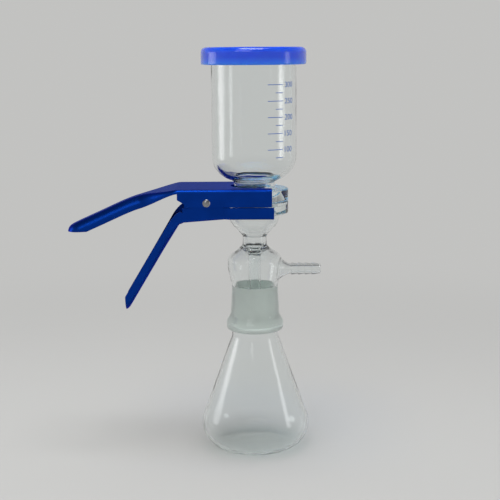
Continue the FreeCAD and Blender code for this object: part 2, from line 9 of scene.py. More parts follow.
import bmesh
import bpy
import numpy as np
from mathutils import Euler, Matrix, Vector


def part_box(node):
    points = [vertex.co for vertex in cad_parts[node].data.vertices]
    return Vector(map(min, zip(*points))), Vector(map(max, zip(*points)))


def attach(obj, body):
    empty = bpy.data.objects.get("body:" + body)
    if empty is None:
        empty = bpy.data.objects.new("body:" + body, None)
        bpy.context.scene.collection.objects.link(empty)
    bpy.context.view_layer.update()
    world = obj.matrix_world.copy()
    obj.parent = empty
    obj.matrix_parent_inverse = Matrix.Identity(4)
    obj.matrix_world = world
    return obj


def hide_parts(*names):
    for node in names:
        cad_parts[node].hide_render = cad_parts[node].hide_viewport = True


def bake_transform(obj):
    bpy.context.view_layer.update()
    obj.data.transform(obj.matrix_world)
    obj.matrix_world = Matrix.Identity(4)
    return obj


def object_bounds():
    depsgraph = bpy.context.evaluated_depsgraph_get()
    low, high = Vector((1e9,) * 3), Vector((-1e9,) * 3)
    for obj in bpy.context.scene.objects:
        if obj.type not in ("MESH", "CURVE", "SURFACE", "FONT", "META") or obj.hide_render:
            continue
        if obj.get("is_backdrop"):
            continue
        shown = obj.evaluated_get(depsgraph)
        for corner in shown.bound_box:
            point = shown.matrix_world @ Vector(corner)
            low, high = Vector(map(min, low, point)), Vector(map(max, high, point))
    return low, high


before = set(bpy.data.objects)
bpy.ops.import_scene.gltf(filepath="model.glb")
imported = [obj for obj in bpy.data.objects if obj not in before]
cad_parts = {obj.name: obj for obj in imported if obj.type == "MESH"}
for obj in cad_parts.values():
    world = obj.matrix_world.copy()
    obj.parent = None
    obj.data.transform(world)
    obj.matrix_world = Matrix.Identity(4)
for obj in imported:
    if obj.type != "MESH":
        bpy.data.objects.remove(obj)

bl_info = {
    "name": "Vacuum Filtration Unit",
    "version": (1, 0, 0),
    "blender": (4, 5, 0),
    "location": "3D View > Sidebar > Filtration",
    "description": "Builds the visual pieces, finishes and stage of a vacuum filtration unit",
    "category": "Object",
}


# ---------------------------------------------------------------- properties

def length(name, description, millimetres):
    """Size property, written in millimetres and kept in metres."""
    default = millimetres / 1000
    return bpy.props.FloatProperty(
        name=name, description=description, default=default, min=0, precision=5, unit="LENGTH"
    )


def angle(name, description, degrees):
    """Angle property, written in degrees and kept in radians."""
    return bpy.props.FloatProperty(
        name=name, description=description, default=math.radians(degrees), subtype="ANGLE"
    )


def number(name, description, value):
    """Plain number property."""
    return bpy.props.FloatProperty(name=name, description=description, default=value, precision=4)


def count(name, description, value):
    """Whole number property."""
    return bpy.props.IntProperty(name=name, description=description, default=value, min=1)


def colour(name, description, red, green, blue):
    """Linear colour property."""
    default = (red, green, blue)
    return bpy.props.FloatVectorProperty(
        name=name, description=description, default=default, min=0, max=1, subtype="COLOR"
    )


class GroundJointSizes(bpy.types.PropertyGroup):
    """Cone and socket between the flask and the filter base"""
    large_radius: length("Large radius", "Radius of the cone at its foot", 20)
    length: length("Length", "Length of the cone", 38)
    taper: number("Taper", "Loss of radius for each unit of length", 0.05)
    gap: length("Gap", "Film between cone and socket", 0.05)
    margin: length("Margin", "Clear glass at both ends of the socket's ground band", 1.5)
    relief: length("Relief", "Height of the step from the flask's neck to the cone", 1)


class FlaskSizes(bpy.types.PropertyGroup):
    """Conical receiving flask"""
    heel_round: length("Heel round", "Outer radius between floor and wall", 21.9)
    foot_width: length("Foot width", "Width of the ring that the flask stands on", 1)
    push_up: length("Push-up", "Rise of the floor inside its foot ring", 0.9)
    push_slope: length("Push-up slope", "Width over which the floor rises", 14)
    push_round: length("Push-up rounding", "Radius of the bend at the top of that slope", 120)
    cone_angle: angle("Cone angle", "Angle between wall and axis", 19.7)
    shoulder_round: length("Shoulder round", "Radius between wall and neck", 15)
    wall: length("Wall", "Thickness of the blown wall", 2.2)
    neck_radius: length("Neck radius", "Radius of the short neck", 20.6)
    neck_length: length("Neck length", "From the shoulder to the cone", 8.6)
    joint_wall: length("Cone wall", "Thickness of the ground cone", 2.6)
    rim_round: length("Rim round", "Melted edges of the mouth", 1.2)
    bore_round: length("Bore round", "Rounds inside the neck", 4)


class BaseSizes(bpy.types.PropertyGroup):
    """Filter base from its flange down to its socket"""
    flange_height: length("Flange height", "Height of the ground flange", 10.9)
    flange_round: length("Flange round", "Lower edge of the flange", 1.4)
    bowl_radius: length("Bowl radius", "Radius under the flange", 22.2)
    bowl_wall: length("Bowl wall", "Thickness of the bowl", 2.5)
    bowl_depth: length("Bowl depth", "From the flange to the stem", 20.6)
    bowl_straight: length("Bowl straight", "Straight height under the flange", 7.9)
    bowl_round: length("Bowl round", "Radius of the bowl's floor", 13)
    bowl_foot_round: length("Bowl foot round", "Radius between bowl and stem", 4)
    stem_radius: length("Stem radius", "Radius of the stem", 10.9)
    stem_wall: length("Stem wall", "Thickness of the stem", 2.2)
    stem_length: length("Stem length", "From the bowl to the dome", 8.9)
    stem_round: length("Stem round", "Radius between stem and dome", 3)
    stem_waist: length("Stem waist", "How much thinner the stem is at the bowl", 0.5)
    seal_drop: length("Seal drop", "How far the stem reaches into the dome", 5)
    seal_thickness: length("Seal thickness", "Thickness of the ring seal", 2.9)
    seal_cone: length("Seal cone", "Height over which the stem narrows to the drip tube", 3)
    inner_stem_radius: length("Inner stem radius", "Radius of the stem inside the dome", 10.3)
    drip_radius: length("Drip tube radius", "Outer radius of the drip tube", 5.6)
    drip_wall: length("Drip tube wall", "Thickness of the drip tube", 1.9)
    drip_reach: length("Drip tube reach", "How far the drip tube hangs into the flask", 12)
    dome_radius: length("Dome radius", "Radius of the vacuum dome's belly", 24)
    dome_wall: length("Dome wall", "Thickness of the dome", 2.1)
    dome_belly: length("Belly height", "From the cone's top to the belly", 14)
    dome_crown: length("Crown height", "From the belly to the shoulder's corner", 11)
    dome_bulge: length("Bulge", "How much wider the shoulder's corner is", 0.3)
    shoulder_round: length("Shoulder round", "Radius of the shoulder", 9)
    belly_round: length("Belly round", "Radius of the belly", 20)
    dome_foot_round: length("Dome foot round", "Radius above the socket", 14)
    socket_wall: length("Socket wall", "Thickness of the socket", 2.3)
    socket_foot_round: length("Socket foot round", "Radius above the bead's slope", 6)
    mouth_gap: length("Mouth gap", "Between the socket's mouth and the flask's neck", 0.7)
    bead_radius: length("Bead radius", "Radius of the bead round the socket's mouth", 25.4)
    bead_height: length("Bead height", "Height of the bead", 8)
    bead_round: length("Bead round", "Edges of the bead", 2.5)
    bead_slope: length("Bead slope", "Height of the slope above the bead", 5.6)
    disc_radius: length("Disc seat radius", "Radius of the seat of the sintered disc", 21.05)
    disc_height: length("Disc seat depth", "Depth of the seat", 4)


class ArmSizes(bpy.types.PropertyGroup):
    """Side arm and its hose barb"""
    drop: length("Drop", "Axis below the corner of the dome's shoulder", 11.4)
    tube_radius: length("Tube radius", "Radius between the serrations", 4.4)
    wall: length("Wall", "Thickness of the arm", 1.6)
    tube_start: length("Tube start", "Distance of the flare's end from the axis of the glass", 32.3)
    flare_across: length("Flare across", "Half width of the flare on the dome", 11.6)
    flare_up: length("Flare up", "Half height of the flare on the dome", 10.4)
    flare_reach: length("Flare reach", "How firmly the flare follows the dome and the tube", 8)
    barb_start: length("Barb start", "First serration, from the axis of the glass", 33)
    barb_count: count("Barbs", "Number of serrations", 4)
    barb_pitch: length("Barb pitch", "Distance between serrations", 6)
    barb_radius: length("Barb radius", "Radius of a serration's crest", 5.4)
    barb_step: length("Barb step", "Length of a serration's steep face", 0.4)
    barb_round: length("Barb round", "Round of a serration's crest", 0.5)
    tip_round: length("Tip round", "Melted edge of the tip", 0.8)


class CupSizes(bpy.types.PropertyGroup):
    """Funnel cup"""
    bore_radius: length("Bore radius", "Inner radius of the cup", 34.05)
    wall: length("Wall", "Thickness of the cup", 3.1)
    bottom_round: length("Bottom round", "Outer radius of the rounded bottom", 21.5)
    neck_radius: length("Neck radius", "Outer radius of the neck", 18)
    neck_wall: length("Neck wall", "Thickness of the neck", 3)
    neck_height: length("Neck height", "From the flange to the bottom", 6.9)
    throat_round: length("Throat round", "Radius between the neck's bore and the ground face", 4)
    mouth_radius: length("Mouth radius", "Opening in the ground face", 19)
    flange_height: length("Flange height", "Height of the ground flange", 11.2)
    flange_round: length("Flange round", "Upper edge of the flange", 1.4)
    melt_round: length("Melted round", "Melted corners of the glass", 2)
    rim_height: length("Rim height", "Height of the thick rim", 6)
    rim_flare: length("Rim flare", "Slope from the wall out to the rim", 3)
    rim_round: length("Rim round", "Lower edge of the rim", 1.5)
    rim_bore_flare: length("Rim bore flare", "How much the bore widens at the rim", 1.5)
    rim_bore_round: length("Rim bore round", "Radius where the bore starts to widen", 4)


class LidSizes(bpy.types.PropertyGroup):
    """Silicone lid"""
    gap: length("Gap", "Round the cup's rim", 0.3)
    edge: length("Top edge round", "Round of the upper edge", 4.5)
    foot: length("Foot round", "Round of the lower edge", 1.2)
    lip_round: length("Lip round", "Rounds of the lip", 0.8)
    lip_height: length("Lip height", "Height of the lip under the rim", 2.2)
    lip_reach: length("Lip reach", "How far the lip reaches in", 1.2)


class SpringSizes(bpy.types.PropertyGroup):
    """Torsion spring round the rivet"""
    wire_radius: length("Wire radius", "Radius of the wire", 1)
    coil_radius: length("Coil radius", "Radius of the coil's centre line", 4.8)
    pitch: length("Pitch", "Advance of each turn", 2.3)
    turns: count("Turns", "Whole turns of the coil", 5)
    leg: length("Leg", "Straight length of each leg", 16.5)
    end_gap: length("End gap", "Between a leg's end and the plate it bears on", 0.1)
    sheet: length("Sheet", "Thickness of the levers", 2)
    joggle: length("Joggle", "From the rivet to the start of the lower lever's sloped plate", 15.3)
    slope_run: length("Slope run", "Length of the sloped plate", 35.3)
    slope_drop: length("Slope drop", "How far the sloped plate falls", 2.6)


class ScaleSizes(bpy.types.PropertyGroup):
    """Printed volume scale on the cup"""
    top: length("Top line", "Height of the 300 mL line below the rim", 28.8)
    step: length("Step", "Height of 50 mL", 13.7)
    line: length("Line width", "Width of a line", 0.55)
    film: length("Film", "Thickness of the enamel", 0.12)
    digits: length("Digit height", "Height of the numerals", 4.7)
    thinning: length("Thinning", "Thinning of the numerals' strokes", 0.05)
    widening: number("Widening", "Widening of the numerals", 1.15)
    left: angle("Left end", "Left end of the long lines, from the front", 18.4)
    middle: angle("Short lines", "Left end of the short lines, from the front", 29.9)
    right: angle("Right end", "Right end of all lines, from the front", 41.3)
    text: angle("Numerals", "Left end of the numerals, from the front", 44.8)


class FinishColours(bpy.types.PropertyGroup):
    """Colours of the pieces and the stage"""
    glass: colour("Glass", "Tint of the glass", 0.97, 0.985, 0.985)
    glass_depth: colour("Glass depth", "Colour that thick glass takes", 0.70, 0.82, 0.80)
    glass_shade: colour("Glass shade", "Light that comes through the glass", 0.93, 0.95, 0.945)
    frost: colour("Frost", "Ground glass", 0.80, 0.86, 0.82)
    grain_pits: colour("Grain pits", "Sintered glass between its grains", 0.70, 0.72, 0.72)
    grain_tops: colour("Grain tops", "Sintered glass on its grains", 0.90, 0.91, 0.91)
    silicone: colour("Silicone", "Lid", 0.011, 0.082, 0.70)
    # painted glow: a paler colour for light shining through the lower edge of the lid's skirt
    silicone_thin: colour("Thin silicone", "Lower edge of the lid's skirt", 0.02, 0.19, 0.86)
    # also painted as a glow on the lid's inside faces, for light coming through the lid
    silicone_shade: colour("Lid's shade", "Light that comes through the lid", 0.30, 0.62, 0.95)
    anodised: colour("Anodised", "Levers", 0.002, 0.036, 0.285)
    steel_dark: colour("Dark steel", "Darker streaks of the wire and the rivet", 0.24, 0.24, 0.25)
    steel_light: colour("Light steel", "Lighter streaks of the wire and the rivet", 0.33, 0.33, 0.34)
    enamel: colour("Enamel", "Printed scale", 0.018, 0.13, 0.52)
    floor: colour("Floor", "Floor under the unit", 0.52, 0.52, 0.51)
    backdrop: colour("Backdrop", "Floor and surround further off", 0.54, 0.54, 0.53)
    zenith: colour("Zenith", "Surround overhead", 0.10, 0.10, 0.11)
    low_light: colour("Low light", "Light of the surround from its horizon", 0.40, 0.40, 0.40)
    high_light: colour("High light", "Light of the surround from overhead", 0.85, 0.85, 0.85)


GROUPS = {
    "filtration_joint": GroundJointSizes,
    "filtration_flask": FlaskSizes,
    "filtration_base": BaseSizes,
    "filtration_arm": ArmSizes,
    "filtration_cup": CupSizes,
    "filtration_lid": LidSizes,
    "filtration_spring": SpringSizes,
    "filtration_scale": ScaleSizes,
    "filtration_colours": FinishColours,
}

# Turned outlines
COLUMNS = 128               # points round each turned piece
TURN_PER_POINT = math.radians(7.5)
FINE_TURN = math.radians(1)
SIDE_STEP = 0.003           # longest piece of a straight side
SIDE_GUARD = 0.0004         # first and last piece of a straight side, so that shading stays even
SAME_PLACE = 1e-7           # ends nearer than this are one point
TOUCH = 0.00001             # how near a point lies to a face that it is said to be on

# Small rounds
SMALL_ROUND = 0.0003        # edges that the pieces' own sizes leave sharp
BARB_ROOT_ROUND = 0.0002
CUT_ROUND = 0.0006          # cut ends of the tubes, and the lid's corners round the rim
JOINT_EDGE_ROUND = 0.0008   # both sides of the joint's foot
SEAL_ROUND = 0.001
NECKING_ROUND = 0.002       # under the base's flange and where the stem narrows
FOOT_RING_ROUND = 0.003

# How far the flame worked the glass on either side of each seam
SEAM_REACH = {"bowl": 0.004, "seal": 0.006, "dome": 0.003, "arm": 0.011, "tip": 0.005, "neck": 0.0025}

# Patch that the side arm grows out of, and the arm's rings
PATCH_HALF = 12             # quads from the middle of the patch to its sides
PATCH_HALF_HEIGHT = 0.013
PATCH_CLEAR_RADIUS = 0.016  # the stem, inside this radius, stays out of the patch
FIRST_CORNER = -45          # degrees round the arm's axis at which its rings start
MORPH_STEPS = 4             # rings between the patch's border and the ellipse
FLARE_STEPS = 12            # rings between the ellipse and the tube
FLARE_LOOK = 0.98           # share of the ellipse at which the flare's first direction is read

# Scale and spring
SCALE_VOLUMES = (300, 250, 200, 150, 100)
LINE_STEPS = 24             # quads along a line
LINE_TOP = 0.8              # width of a line's top, as a share of its foot
FILM_LIFT = 0.00001         # between the glass and the enamel
FONT_HEIGHT = 0.7           # height of a numeral in a font of size 1
WELD = 1e-6
COIL_POINTS = 181
LEG_POINTS = 8
WIRE_POINTS = 16
WIRE_END = 0.0002           # length of the bevel at the wire's ends
WIRE_END_SHARE = 0.8        # the bevel's smaller radius, as a share of the wire's

# Finishes
NOISE_SPAN = (0.3, 0.7)     # where nearly all of a noise's values lie
UNBOUNCED = 0.5             # a ray's depth is under this before its first bounce

# Stage: metres, degrees and watts
LENS = 79.2
CAMERA_PLACE = (-0.0030, -0.967, 0.357)
CAMERA_TILT = 10.3          # down from the level
CAMERA_ROLL = 0.37
LAMPS = {                   # place, width, power
    "overhead_softbox": ((-0.02, -0.14, 1.15), 0.46, 4.4),
    "front_softbox": ((-0.50, -1.15, 1.05), 0.80, 3.4),
}
PANELS = {                  # place, width, height
    "left_panel": ((-0.80, 0.13, 0.27), 0.44, 0.46),
    "right_panel": ((0.78, -0.20, 0.26), 0.22, 0.46),
}
PANEL_STEPS = 12
PANEL_EDGE = 0.6            # power of the sines that fade a panel's edges
PANEL_STRENGTH = 3.0
SKY = (0.12, 0.75)          # height of a view's direction where the surround starts and ends to change
FLOOR_RINGS = (6.0, 1.5, 0.5)
FLOOR_COLUMNS = 96
FLOOR_DROP = 0.0002
FLOOR_FADE = (0.2, 0.9)     # distance over which the floor turns into the backdrop
MOST_BOUNCES = 32


# ---------------------------------------------------------------- outlines and surfaces

def direction(a, b):
    """Unit vector from a to b in the plane of an outline."""
    way = np.subtract(b[:2], a[:2])
    return way / np.linalg.norm(way)


def crossing(p, u, q, v):
    """Where the line p + s u meets the line q + t v, by the ratio of two cross products."""
    across = u[0] * v[1] - u[1] * v[0]
    return p + u * (((q[0] - p[0]) * v[1] - (q[1] - p[1]) * v[0]) / across)


def parallel(corners, distance):
    """Open outline moved to its right by a distance; each round grows or shrinks with its turn."""
    sides = [direction(a, b) for a, b in zip(corners, corners[1:])]
    starts = [np.array(a[:2]) + (s[1] * distance, -s[0] * distance) for a, s in zip(corners, sides)]
    moved = [(*starts[0], 0)]
    for i in range(1, len(sides)):
        turn = sides[i - 1][0] * sides[i][1] - sides[i - 1][1] * sides[i][0]
        place = crossing(starts[i - 1], sides[i - 1], starts[i], sides[i])
        rounding = corners[i][2] + distance * math.copysign(1, turn) if corners[i][2] else 0
        moved.append((*place, max(rounding, 0)))
    end, last = corners[-1], sides[-1]
    return [*moved, (end[0] + last[1] * distance, end[1] - last[0] * distance, 0)]


def rounded(corners, closed=True, turn_per_point=TURN_PER_POINT):
    """Points of an outline of straight sides joined by tangent arcs, from (across, up, rounding).

    An arc of radius R in a corner with half angle h starts R / tan(h) before the corner, and its
    centre lies R / sin(h) along the bisector.  Corners without a rounding get a very small one.
    """
    count = len(corners)
    pieces = []
    for i, (across, up, rounding) in enumerate(corners):
        corner = np.array((across, up))
        if not closed and i in (0, count - 1):
            pieces.append(corner[None])
            continue
        before = direction(corners[i], corners[i - 1])
        after = direction(corners[i], corners[(i + 1) % count])
        half = math.acos(max(-1, min(1, float(before @ after)))) / 2
        radius = rounding or SMALL_ROUND
        centre = corner + (before + after) / np.linalg.norm(before + after) * (radius / math.sin(half))
        first = corner + before * radius / math.tan(half) - centre
        last = corner + after * radius / math.tan(half) - centre
        sweep = math.pi - 2 * half
        steps = max(2, math.ceil(sweep / turn_per_point))
        share = np.linspace(0, 1, steps + 1)[:, None]
        arc = (first * np.sin((1 - share) * sweep) + last * np.sin(share * sweep)) / math.sin(sweep)
        pieces.append(centre + arc)
    points = []
    for piece, follower in zip(pieces, pieces[1:] + pieces[:1]):
        points.append(piece)
        if not closed and piece is pieces[-1]:
            break
        gap = np.linalg.norm(follower[0] - piece[-1])
        if gap < 3 * SIDE_GUARD:
            if gap < SAME_PLACE:
                points[-1] = piece[:-1]
            continue
        inner = np.linspace(SIDE_GUARD, gap - SIDE_GUARD, max(2, math.ceil(gap / SIDE_STEP))) / gap
        points.append(piece[-1] + (follower[0] - piece[-1]) * inner[:, None])
    return np.concatenate(points)


def clockwise(points):
    """The same loop of points with its outside on its left: outer wall down, inner wall up."""
    across, up = points.T
    area = np.sum(across * np.roll(up, -1) - np.roll(across, -1) * up)
    return points[::-1] if area > 0 else points


def stacked(x, y, z):
    """Points from their x, y and z, each an array or a number."""
    return np.stack(np.broadcast_arrays(x, y, z), -1)


def turned(points, columns):
    """Rows of a profile carried round Z: (r cos t, r sin t, z) for every r, z and every turn t."""
    turn = np.arange(columns) * 2 * math.pi / columns
    across, up = points[:, :1], points[:, 1:]
    return stacked(across * np.cos(turn), across * np.sin(turn), up)


def grid_quads(rows, columns, wrap_rows):
    """Corner numbers of a grid's quads; columns always wrap round, rows where asked."""
    i, j = np.meshgrid(np.arange(rows if wrap_rows else rows - 1), np.arange(columns), indexing="ij")
    below, beside = (i + 1) % rows, (j + 1) % columns
    ring = [i * columns + j, below * columns + j, below * columns + beside, i * columns + beside]
    return np.stack(ring, -1).reshape(-1, 4)


def capped_faces(rows, columns):
    """Faces of a grid and of the fans from its end rows to two poles, which come after its points."""
    here = np.arange(columns)
    beside = (here + 1) % columns
    last = (rows - 1) * columns
    first_fan = np.stack([np.full(columns, rows * columns), here, beside], -1)
    last_fan = np.stack([np.full(columns, rows * columns + 1), last + beside, last + here], -1)
    return [*grid_quads(rows, columns, False).tolist(), *first_fan.tolist(), *last_fan.tolist()]


def piece_from(name, points, faces, material, **marks):
    """Smooth mesh object at the origin; marks are numbers kept with its points or its faces."""
    points = np.reshape(points, (-1, 3))
    mesh = bpy.data.meshes.new(name)
    mesh.from_pydata(points.tolist(), [], faces, shade_flat=False)
    mesh.materials.append(material)
    for key, values in marks.items():
        domain = "POINT" if len(values) == len(points) else "FACE"
        mesh.attributes.new(key, "FLOAT", domain).data.foreach_set("value", values.astype(np.float32))
    mesh.validate()
    obj = bpy.data.objects.new(name, mesh)
    bpy.context.scene.collection.objects.link(obj)
    return obj


def worked_near(points, seams):
    """How much each point was worked in the flame: exp(-(d / reach)^2), d from the nearest seam.

    A seam is ((x, y, z), reach), or (z, reach) for a ring at a height.
    """
    points = np.reshape(points, (-1, 3))
    worked = np.zeros(len(points))
    for place, reach in seams:
        if np.isscalar(place):
            away = points[:, 2] - place
        else:
            away = np.linalg.norm(points - place, axis=1)
        worked = np.maximum(worked, np.exp(-((away / reach) ** 2)))
    return worked


def marked(middles, tests):
    """Marks of a turned piece's faces: each test is asked with r and z of the faces' middles."""
    return {key: np.repeat(test(*middles.T), COLUMNS) for key, test in tests.items()}


def closed_shell(name, points, material, seams=(), **tests):
    """Ring-shaped piece: a closed profile carried round Z."""
    points = clockwise(points)
    verts = turned(points, COLUMNS)
    marks = marked((points + np.roll(points, -1, axis=0)) / 2, tests)
    if seams:
        marks["worked"] = worked_near(verts, seams)
    faces = grid_quads(len(points), COLUMNS, True).tolist()
    return piece_from(name, verts, faces, material, **marks)


def capped_shell(name, points, material, **tests):
    """Piece whose profile starts and ends on the axis: rows between two poles with their fans."""
    points = clockwise(points)
    ring = points[1:-1]
    poles = [[0, 0, points[0, 1]], [0, 0, points[-1, 1]]]
    verts = np.concatenate([turned(ring, COLUMNS).reshape(-1, 3), poles])
    middle = (ring[1:] + ring[:-1]) / 2
    marks = marked(np.concatenate([middle, middle[:1], middle[-1:]]), tests)
    return piece_from(name, verts, capped_faces(len(ring), COLUMNS), material, **marks)


# ---------------------------------------------------------------- finishes

def new_finish(name):
    """Node material with its tree and its Principled shader."""
    material = bpy.data.materials.new(name)
    material.use_nodes = True
    return material, material.node_tree, material.node_tree.nodes["Principled BSDF"]


def set_inputs(node, inputs):
    """Set a node's inputs; an input given as a socket is linked."""
    for key, value in inputs.items():
        if isinstance(value, bpy.types.NodeSocket):
            node.id_data.links.new(value, node.inputs[key])
        else:
            node.inputs[key].default_value = value


def add_node(tree, kind, inputs=None, **settings):
    """Node with its settings and inputs."""
    node = tree.nodes.new("ShaderNode" + kind)
    for key, value in settings.items():
        setattr(node, key, value)
    set_inputs(node, inputs or {})
    return node


def object_place(tree, scale=(1, 1, 1)):
    """Object coordinates, stretched by a scale."""
    place = add_node(tree, "TexCoord").outputs["Object"]
    return add_node(tree, "Mapping", {"Vector": place, "Scale": scale}).outputs["Vector"]


def kept_mark(tree, name):
    """A mark that the mesh keeps under a name."""
    return add_node(tree, "Attribute", attribute_name=name).outputs["Fac"]


def noise(tree, place, scale, detail=2.0):
    """Noise value between 0 and 1 at a place."""
    inputs = {"Vector": place, "Scale": scale, "Detail": detail}
    return add_node(tree, "TexNoise", inputs).outputs["Fac"]


def ranged(tree, value, start, end, low, high, kind="LINEAR"):
    """Value of start to end, turned into low to high."""
    inputs = {"Value": value, "From Min": start, "From Max": end, "To Min": low, "To Max": high}
    return add_node(tree, "MapRange", inputs, interpolation_type=kind).outputs["Result"]


def spread(tree, value, low, high):
    """The usual span of a noise turned into low to high."""
    return ranged(tree, value, *NOISE_SPAN, low, high)


def bump(tree, height, depth, strength=1.0):
    """Normal of a bump with a depth in metres."""
    inputs = {"Height": height, "Distance": depth, "Strength": strength}
    return add_node(tree, "Bump", inputs).outputs["Normal"]


def mixed(tree, share, first, second):
    """Colour between two colours; each is three numbers or a socket."""
    ends = [end if isinstance(end, bpy.types.NodeSocket) else (*end, 1) for end in (first, second)]
    return add_node(tree, "Mix", {0: share, 6: ends[0], 7: ends[1]}, data_type="RGBA").outputs[2]


def shaded(tree, share, colour, low, high):
    """Colour between two shades of one colour, given as factors."""
    base = np.array(colour)
    return mixed(tree, share, tuple(base * low), tuple(base * high))


def between(tree, share, first, second):
    """Number between two numbers or sockets."""
    return add_node(tree, "Mix", {0: share, 2: first, 3: second}).outputs[0]


def reckon(tree, operation, first, second):
    """Result of an operation on two numbers or sockets."""
    return add_node(tree, "Math", {0: first, 1: second}, operation=operation).outputs[0]


def absorb(tree, colour, density):
    """Absorption inside a piece, so that long ways through it read darker than short ones."""
    inputs = {"Color": (*colour, 1), "Density": density}
    inside = add_node(tree, "VolumeAbsorption", inputs).outputs["Volume"]
    set_inputs(tree.nodes["Material Output"], {"Volume": inside})


def mix_surface(tree, share, first, second):
    """Surface between two shaders."""
    mix = add_node(tree, "MixShader", {0: share, 1: first, 2: second}).outputs[0]
    set_inputs(tree.nodes["Material Output"], {"Surface": mix})


def let_lamps_through(tree, shader, tint):
    """Light from lamps passes the piece with a tint, so that what stands in it and under it is lit."""
    shadow = add_node(tree, "LightPath").outputs["Is Shadow Ray"]
    clear = add_node(tree, "BsdfTransparent", {"Color": (*tint, 1)}).outputs[0]
    mix_surface(tree, shadow, shader.outputs[0], clear)


def blown_glass(colours):
    """Borosilicate glass: clear and faintly wavy where it was blown, pale even frost where ground.

    Near its seams, where it was worked in the flame, it has fine level rings as well.
    """
    material, tree, shader = new_finish("blown_glass")
    ground, worked = kept_mark(tree, "ground"), kept_mark(tree, "worked")
    place = object_place(tree)
    frost = shaded(tree, noise(tree, place, scale=160, detail=4.0), colours.frost, low=0.94, high=1.04)
    grain = spread(tree, noise(tree, place, scale=900, detail=3.0), 0.45, 0.6)
    waves = noise(tree, object_place(tree, (1, 1, 0.45)), scale=70, detail=1.5)
    rings = noise(tree, object_place(tree, (0.3, 0.3, 1)), scale=420)
    clear = reckon(tree, "ADD", waves, reckon(tree, "MULTIPLY", worked, rings))
    rough = reckon(tree, "MULTIPLY", noise(tree, place, scale=5200), 0.15)
    set_inputs(shader, {
        "Base Color": mixed(tree, ground, colours.glass, frost),
        "Roughness": between(tree, ground, 0.0, grain),
        "Transmission Weight": between(tree, ground, 1.0, 0.25),
        "IOR": 1.474,
        "Normal": bump(tree, between(tree, ground, clear, rough), depth=0.00022),
    })
    absorb(tree, colours.glass_depth, density=12.0)
    let_lamps_through(tree, shader, colours.glass_shade)
    return material


def sintered_grains(colours):
    """White sintered grains."""
    material, tree, shader = new_finish("sintered_grains")
    grain = noise(tree, object_place(tree), scale=2600, detail=3.0)
    set_inputs(shader, {
        "Base Color": mixed(tree, grain, colours.grain_pits, colours.grain_tops),
        "Roughness": 0.8,
        "Subsurface Weight": 0.2,
        "Subsurface Scale": 0.002,
        "Normal": bump(tree, grain, depth=0.0003, strength=0.7),
    })
    return material


def lid_silicone(colours):
    """Glossy translucent silicone, with a painted glow of light through it on its inside and towards the
    lower edge of its skirt.
    """
    material, tree, shader = new_finish("lid_silicone")
    place = object_place(tree)
    cloud = spread(tree, noise(tree, place, scale=45, detail=3.0), 0, 1)
    even = shaded(tree, cloud, colours.silicone, low=0.92, high=1.05)
    low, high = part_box("funnel_lid")
    up = add_node(tree, "SeparateXYZ", {0: place}).outputs["Z"]
    # painted glow of light through the skirt: the colour turns paler towards its lower edge
    skirt = ranged(tree, up, low.z, (low.z + high.z) / 2, 1.0, 0.0, "SMOOTHSTEP")
    outside = mixed(tree, skirt, even, colours.silicone_thin)
    set_inputs(shader, {
        # painted glow: the inside faces take the colour of light coming through the lid
        "Base Color": mixed(tree, kept_mark(tree, "inside"), outside, colours.silicone_shade),
        "Roughness": spread(tree, noise(tree, place, scale=350, detail=3.0), 0.14, 0.20),
        "IOR": 1.43,
        "Subsurface Weight": 1.0,
        "Subsurface Radius": (0.4, 0.7, 1.0),
        "Subsurface Scale": 0.010,
        "Coat Weight": 0.5,
        "Coat Roughness": 0.07,
        "Normal": bump(tree, noise(tree, place, scale=1400), depth=0.00003, strength=0.5),
    })
    let_lamps_through(tree, shader, colours.silicone_shade)
    return material


def anodised_sheet(colours):
    """Anodised sheet: deep blue satin metal with a fine rolling grain along the levers."""
    material, tree, shader = new_finish("anodised_sheet")
    grain = noise(tree, object_place(tree, (0.12, 1, 1)), scale=2600, detail=3.0)
    cloud = noise(tree, object_place(tree), scale=60, detail=3.0)
    set_inputs(shader, {
        "Base Color": shaded(tree, spread(tree, cloud, 0, 1), colours.anodised, low=0.9, high=1.1),
        "Roughness": spread(tree, grain, 0.28, 0.38),
        "Metallic": 0.88,
        "IOR": 1.5,
        "Specular Tint": (0.12, 0.28, 1.0, 1.0),
        "Normal": bump(tree, grain, depth=0.00002, strength=0.6),
    })
    return material


def drawn_steel(colours):
    """Dull drawn steel."""
    material, tree, shader = new_finish("drawn_steel")
    place = object_place(tree)
    share = spread(tree, noise(tree, place, scale=500, detail=3.0), 0, 1)
    set_inputs(shader, {
        "Base Color": mixed(tree, share, colours.steel_dark, colours.steel_light),
        "Roughness": spread(tree, noise(tree, place, scale=1500, detail=3.0), 0.24, 0.36),
        "Metallic": 1.0,
        "Normal": bump(tree, noise(tree, place, scale=3000), depth=0.00001, strength=0.5),
    })
    return material


def printed_enamel(colours):
    """Blue enamel of the printed scale."""
    material, tree, shader = new_finish("printed_enamel")
    place = object_place(tree)
    cloud = noise(tree, place, scale=1800, detail=3.0)
    set_inputs(shader, {
        "Base Color": shaded(tree, cloud, colours.enamel, low=0.85, high=1.1),
        "Roughness": 0.38,
        "Normal": bump(tree, noise(tree, place, scale=3000), depth=0.00002, strength=0.5),
    })
    return material


